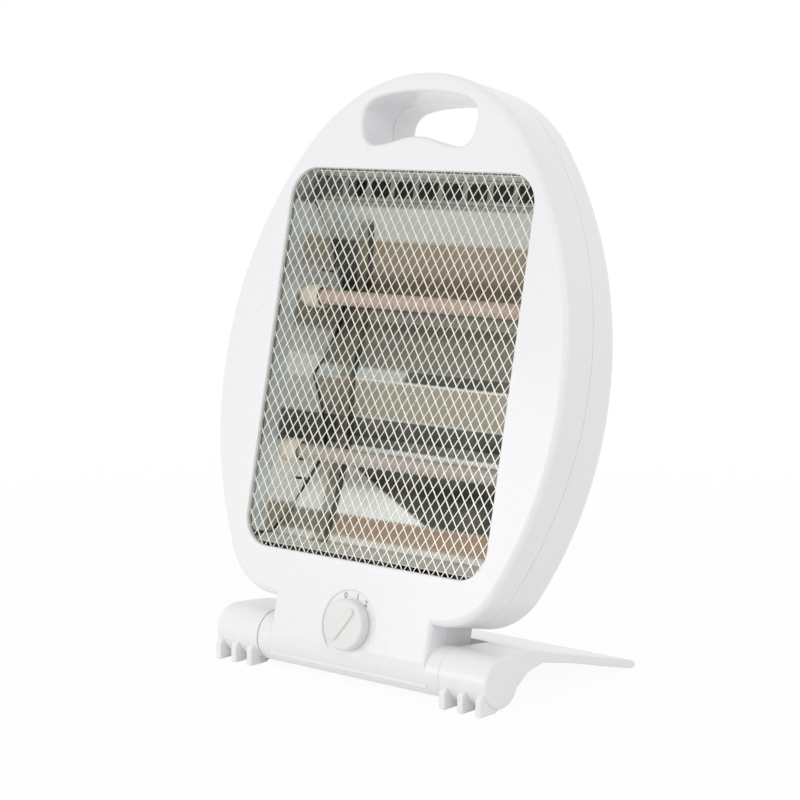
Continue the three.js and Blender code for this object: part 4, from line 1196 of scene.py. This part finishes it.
# ------------------------------------------------------------------ ceramic caps
# A cap of cream ceramic closes each end of a tube. It sits in its hole in the end plate, and a lead
# leaves it through a narrow bore.
ceramic, ceramic_place, ceramic_surface = new_material("steatite_ceramic")
grain = ceramic_place.noise(900, 4)
tube_play = 1.3                   # round a tube in its cap
lead_bore = 2.2
fill(ceramic_place, ceramic_surface,
     Base_Color=ceramic_place.noise(90, 4).mix(rgb(243, 236, 220), rgb(234, 225, 206)),
     Roughness=0.62 + 0.15 * grain, Normal=grain.bump(0.25, 0.1 * mm))
cap_bore = tube_radius + tube_play
cap_seat_end = tube_end + 0.3
for level, height in tube_heights.items():
    for side, label in ((-1, "left"), (1, "right")):
        cap = turned("cap", [(side * x, radius) for x, radius in (
            (cap_face, cap_bore), (cap_face, cap_radius), (cap_end, cap_radius), (cap_end, lead_bore),
            (cap_seat_end, lead_bore), (cap_seat_end, cap_bore))])
        soften(cap, 0.7, 3, angle=50)
        cap.location = (0, tube_depth * mm, height * mm)
        settle(cap)
        lean_back(cap)
        polish(cap)
        mount(cap, f"cap_{level}_{label}", "casing", ceramic, "ceramic", f"ceramic_cap_{level}_{label}")

# ------------------------------------------------------------------ dial
# A knob of moulded white plastic with a raised grip, pushed onto the switch's shaft. It turns just
# above the floor of a shallow recess.
knob_radius = 16.2
knob_gap = 0.45                   # between the knob and the recess's floor
knob_back = dial_floor - knob_gap
knob_thickness = 6.6
knob_edge = 1.8
grip_width = 5.0
grip_rise = 1.6
shaft_socket = 3.05
knob_turned = math.radians(35)
knob_material = moulded_plastic("knob_plastic", rgb(233, 233, 232), rgb(230, 230, 228), 0.28)
knob = plug_forward("knob", knob_radius, -knob_thickness, 0, 0, 0, 96)
soften(knob, knob_edge, 6, lambda a, b: max(a.y, b.y) < -(knob_thickness - 0.01) * mm)
grip = rounded_slab("grip", grip_width, 2 * (knob_radius - knob_edge - 2), grip_width / 2 - 0.01, 0,
                    -(knob_thickness + grip_rise), -2, 10)
soften(grip, 0.8, 4, lambda a, b: max(a.y, b.y) < -(knob_thickness + grip_rise - 0.01) * mm)
join(knob, grip)
cut(knob, plug_forward("shaft_socket", shaft_socket, -4.5, 1, 0, 0, 40))
knob_place = Matrix.Translation((0, knob_back * mm, dial_height * mm))
knob.matrix_world = knob_place @ Matrix.Rotation(knob_turned, 4, "Y")
settle(knob)
lean_back(knob)
polish(knob)
mount(knob, "dial_knob", "knob", knob_material, "knob_plastic", "knob")

# ------------------------------------------------------------------ digits
# The three positions of the knob, printed in grey ink on the floor of the recess round it. Each digit
# is a thin layer of ink that stands upright at its place on a circle.
ink, ink_place, ink_surface = new_material("printed_digits")
fill(ink_place, ink_surface, Base_Color=ink_place.noise(1200, 2).mix(rgb(70, 70, 74), rgb(96, 96, 98)),
     Roughness=0.5 + 0.1 * ink_place.noise(700, 2))
digit_radius = 18.6
digit_size = 5.25
for digit, turn in (("0", -19), ("1", 12), ("2", 37)):
    bpy.ops.object.select_all(action="DESELECT")
    bpy.ops.object.text_add()
    text = bpy.context.object
    text.data.body = digit
    text.data.align_x = "CENTER"
    text.data.align_y = "CENTER"
    text.data.size = digit_size * mm
    text.data.extrude = 0.02 * mm
    bpy.ops.object.convert(target="MESH")
    letter = bpy.context.object
    angle = math.radians(turn)
    letter.matrix_world = Matrix.Translation((
        digit_radius * math.sin(angle) * mm, (dial_floor - 0.03) * mm,
        (dial_height + digit_radius * math.cos(angle)) * mm,
    )) @ Matrix.Rotation(math.radians(90), 4, "X")
    settle(letter)
    lean_back(letter)
    mount(letter, f"dial_digit_{digit}", "casing", ink, "black_plastic")

# ------------------------------------------------------------------ parts seen little
# What stays as the CAD made it: the leads, the switches, the terminal block, the gland and the screws.
# They have the looks of black mouldings, zinc-plated steel, glass-fibre sleeves and turned brass.
black, black_place, black_surface = new_material("black_moulding")
fill(black_place, black_surface,
     Base_Color=black_place.noise(50, 3).mix(rgb(38, 38, 40), rgb(30, 30, 32)),
     Roughness=0.42 + 0.15 * black_place.noise(400, 3),
     Normal=black_place.noise(1500, 2).bump(0.15, 0.1 * mm))
screw_metal, screw_place, screw_surface = new_material("zinc_plated_steel")
fill(screw_place, screw_surface,
     Base_Color=screw_place.noise(500, 3).mix(rgb(176, 178, 180), rgb(150, 152, 156)),
     Roughness=0.3 + 0.2 * screw_place.noise(900, 2), Metallic=1.0)
sleeve, sleeve_place, sleeve_surface = new_material("glass_fibre_sleeve")
weave = sleeve_place.noise(1800, 2)
fill(sleeve_place, sleeve_surface, Base_Color=weave.mix(rgb(222, 218, 206), rgb(198, 193, 180)),
     Roughness=0.7 + 0.1 * weave, Normal=weave.bump(0.4, 0.1 * mm))
brass, brass_place, brass_surface = new_material("turned_brass")
fill(brass_place, brass_surface,
     Base_Color=brass_place.noise(200, 2).mix(rgb(190, 162, 96), rgb(172, 142, 80)),
     Roughness=0.28 + 0.15 * brass_place.noise(600, 2), Metallic=1.0)
kept_looks = {
    "rotary_switch": black, "terminal_block": black, "tip_switch_housing": black, "cord_gland": black,
    "gland_nut": black, "thermal_cutout": frame_material, "switch_shaft": brass, "tip_switch_weight": brass,
    "lead": sleeve, "casing_screw": screw_metal, "reflector_screw": screw_metal,
}
for name, node in frame["nodes"].items():
    look = next((kept_looks[start] for start in kept_looks if name.startswith(start)), None)
    if look is not None:
        for holder in node.material_slots:
            holder.material = look

# ------------------------------------------------------------------ picture
# The colours go to the screen as they are.
view = bpy.context.scene.view_settings
view.view_transform = "Standard"
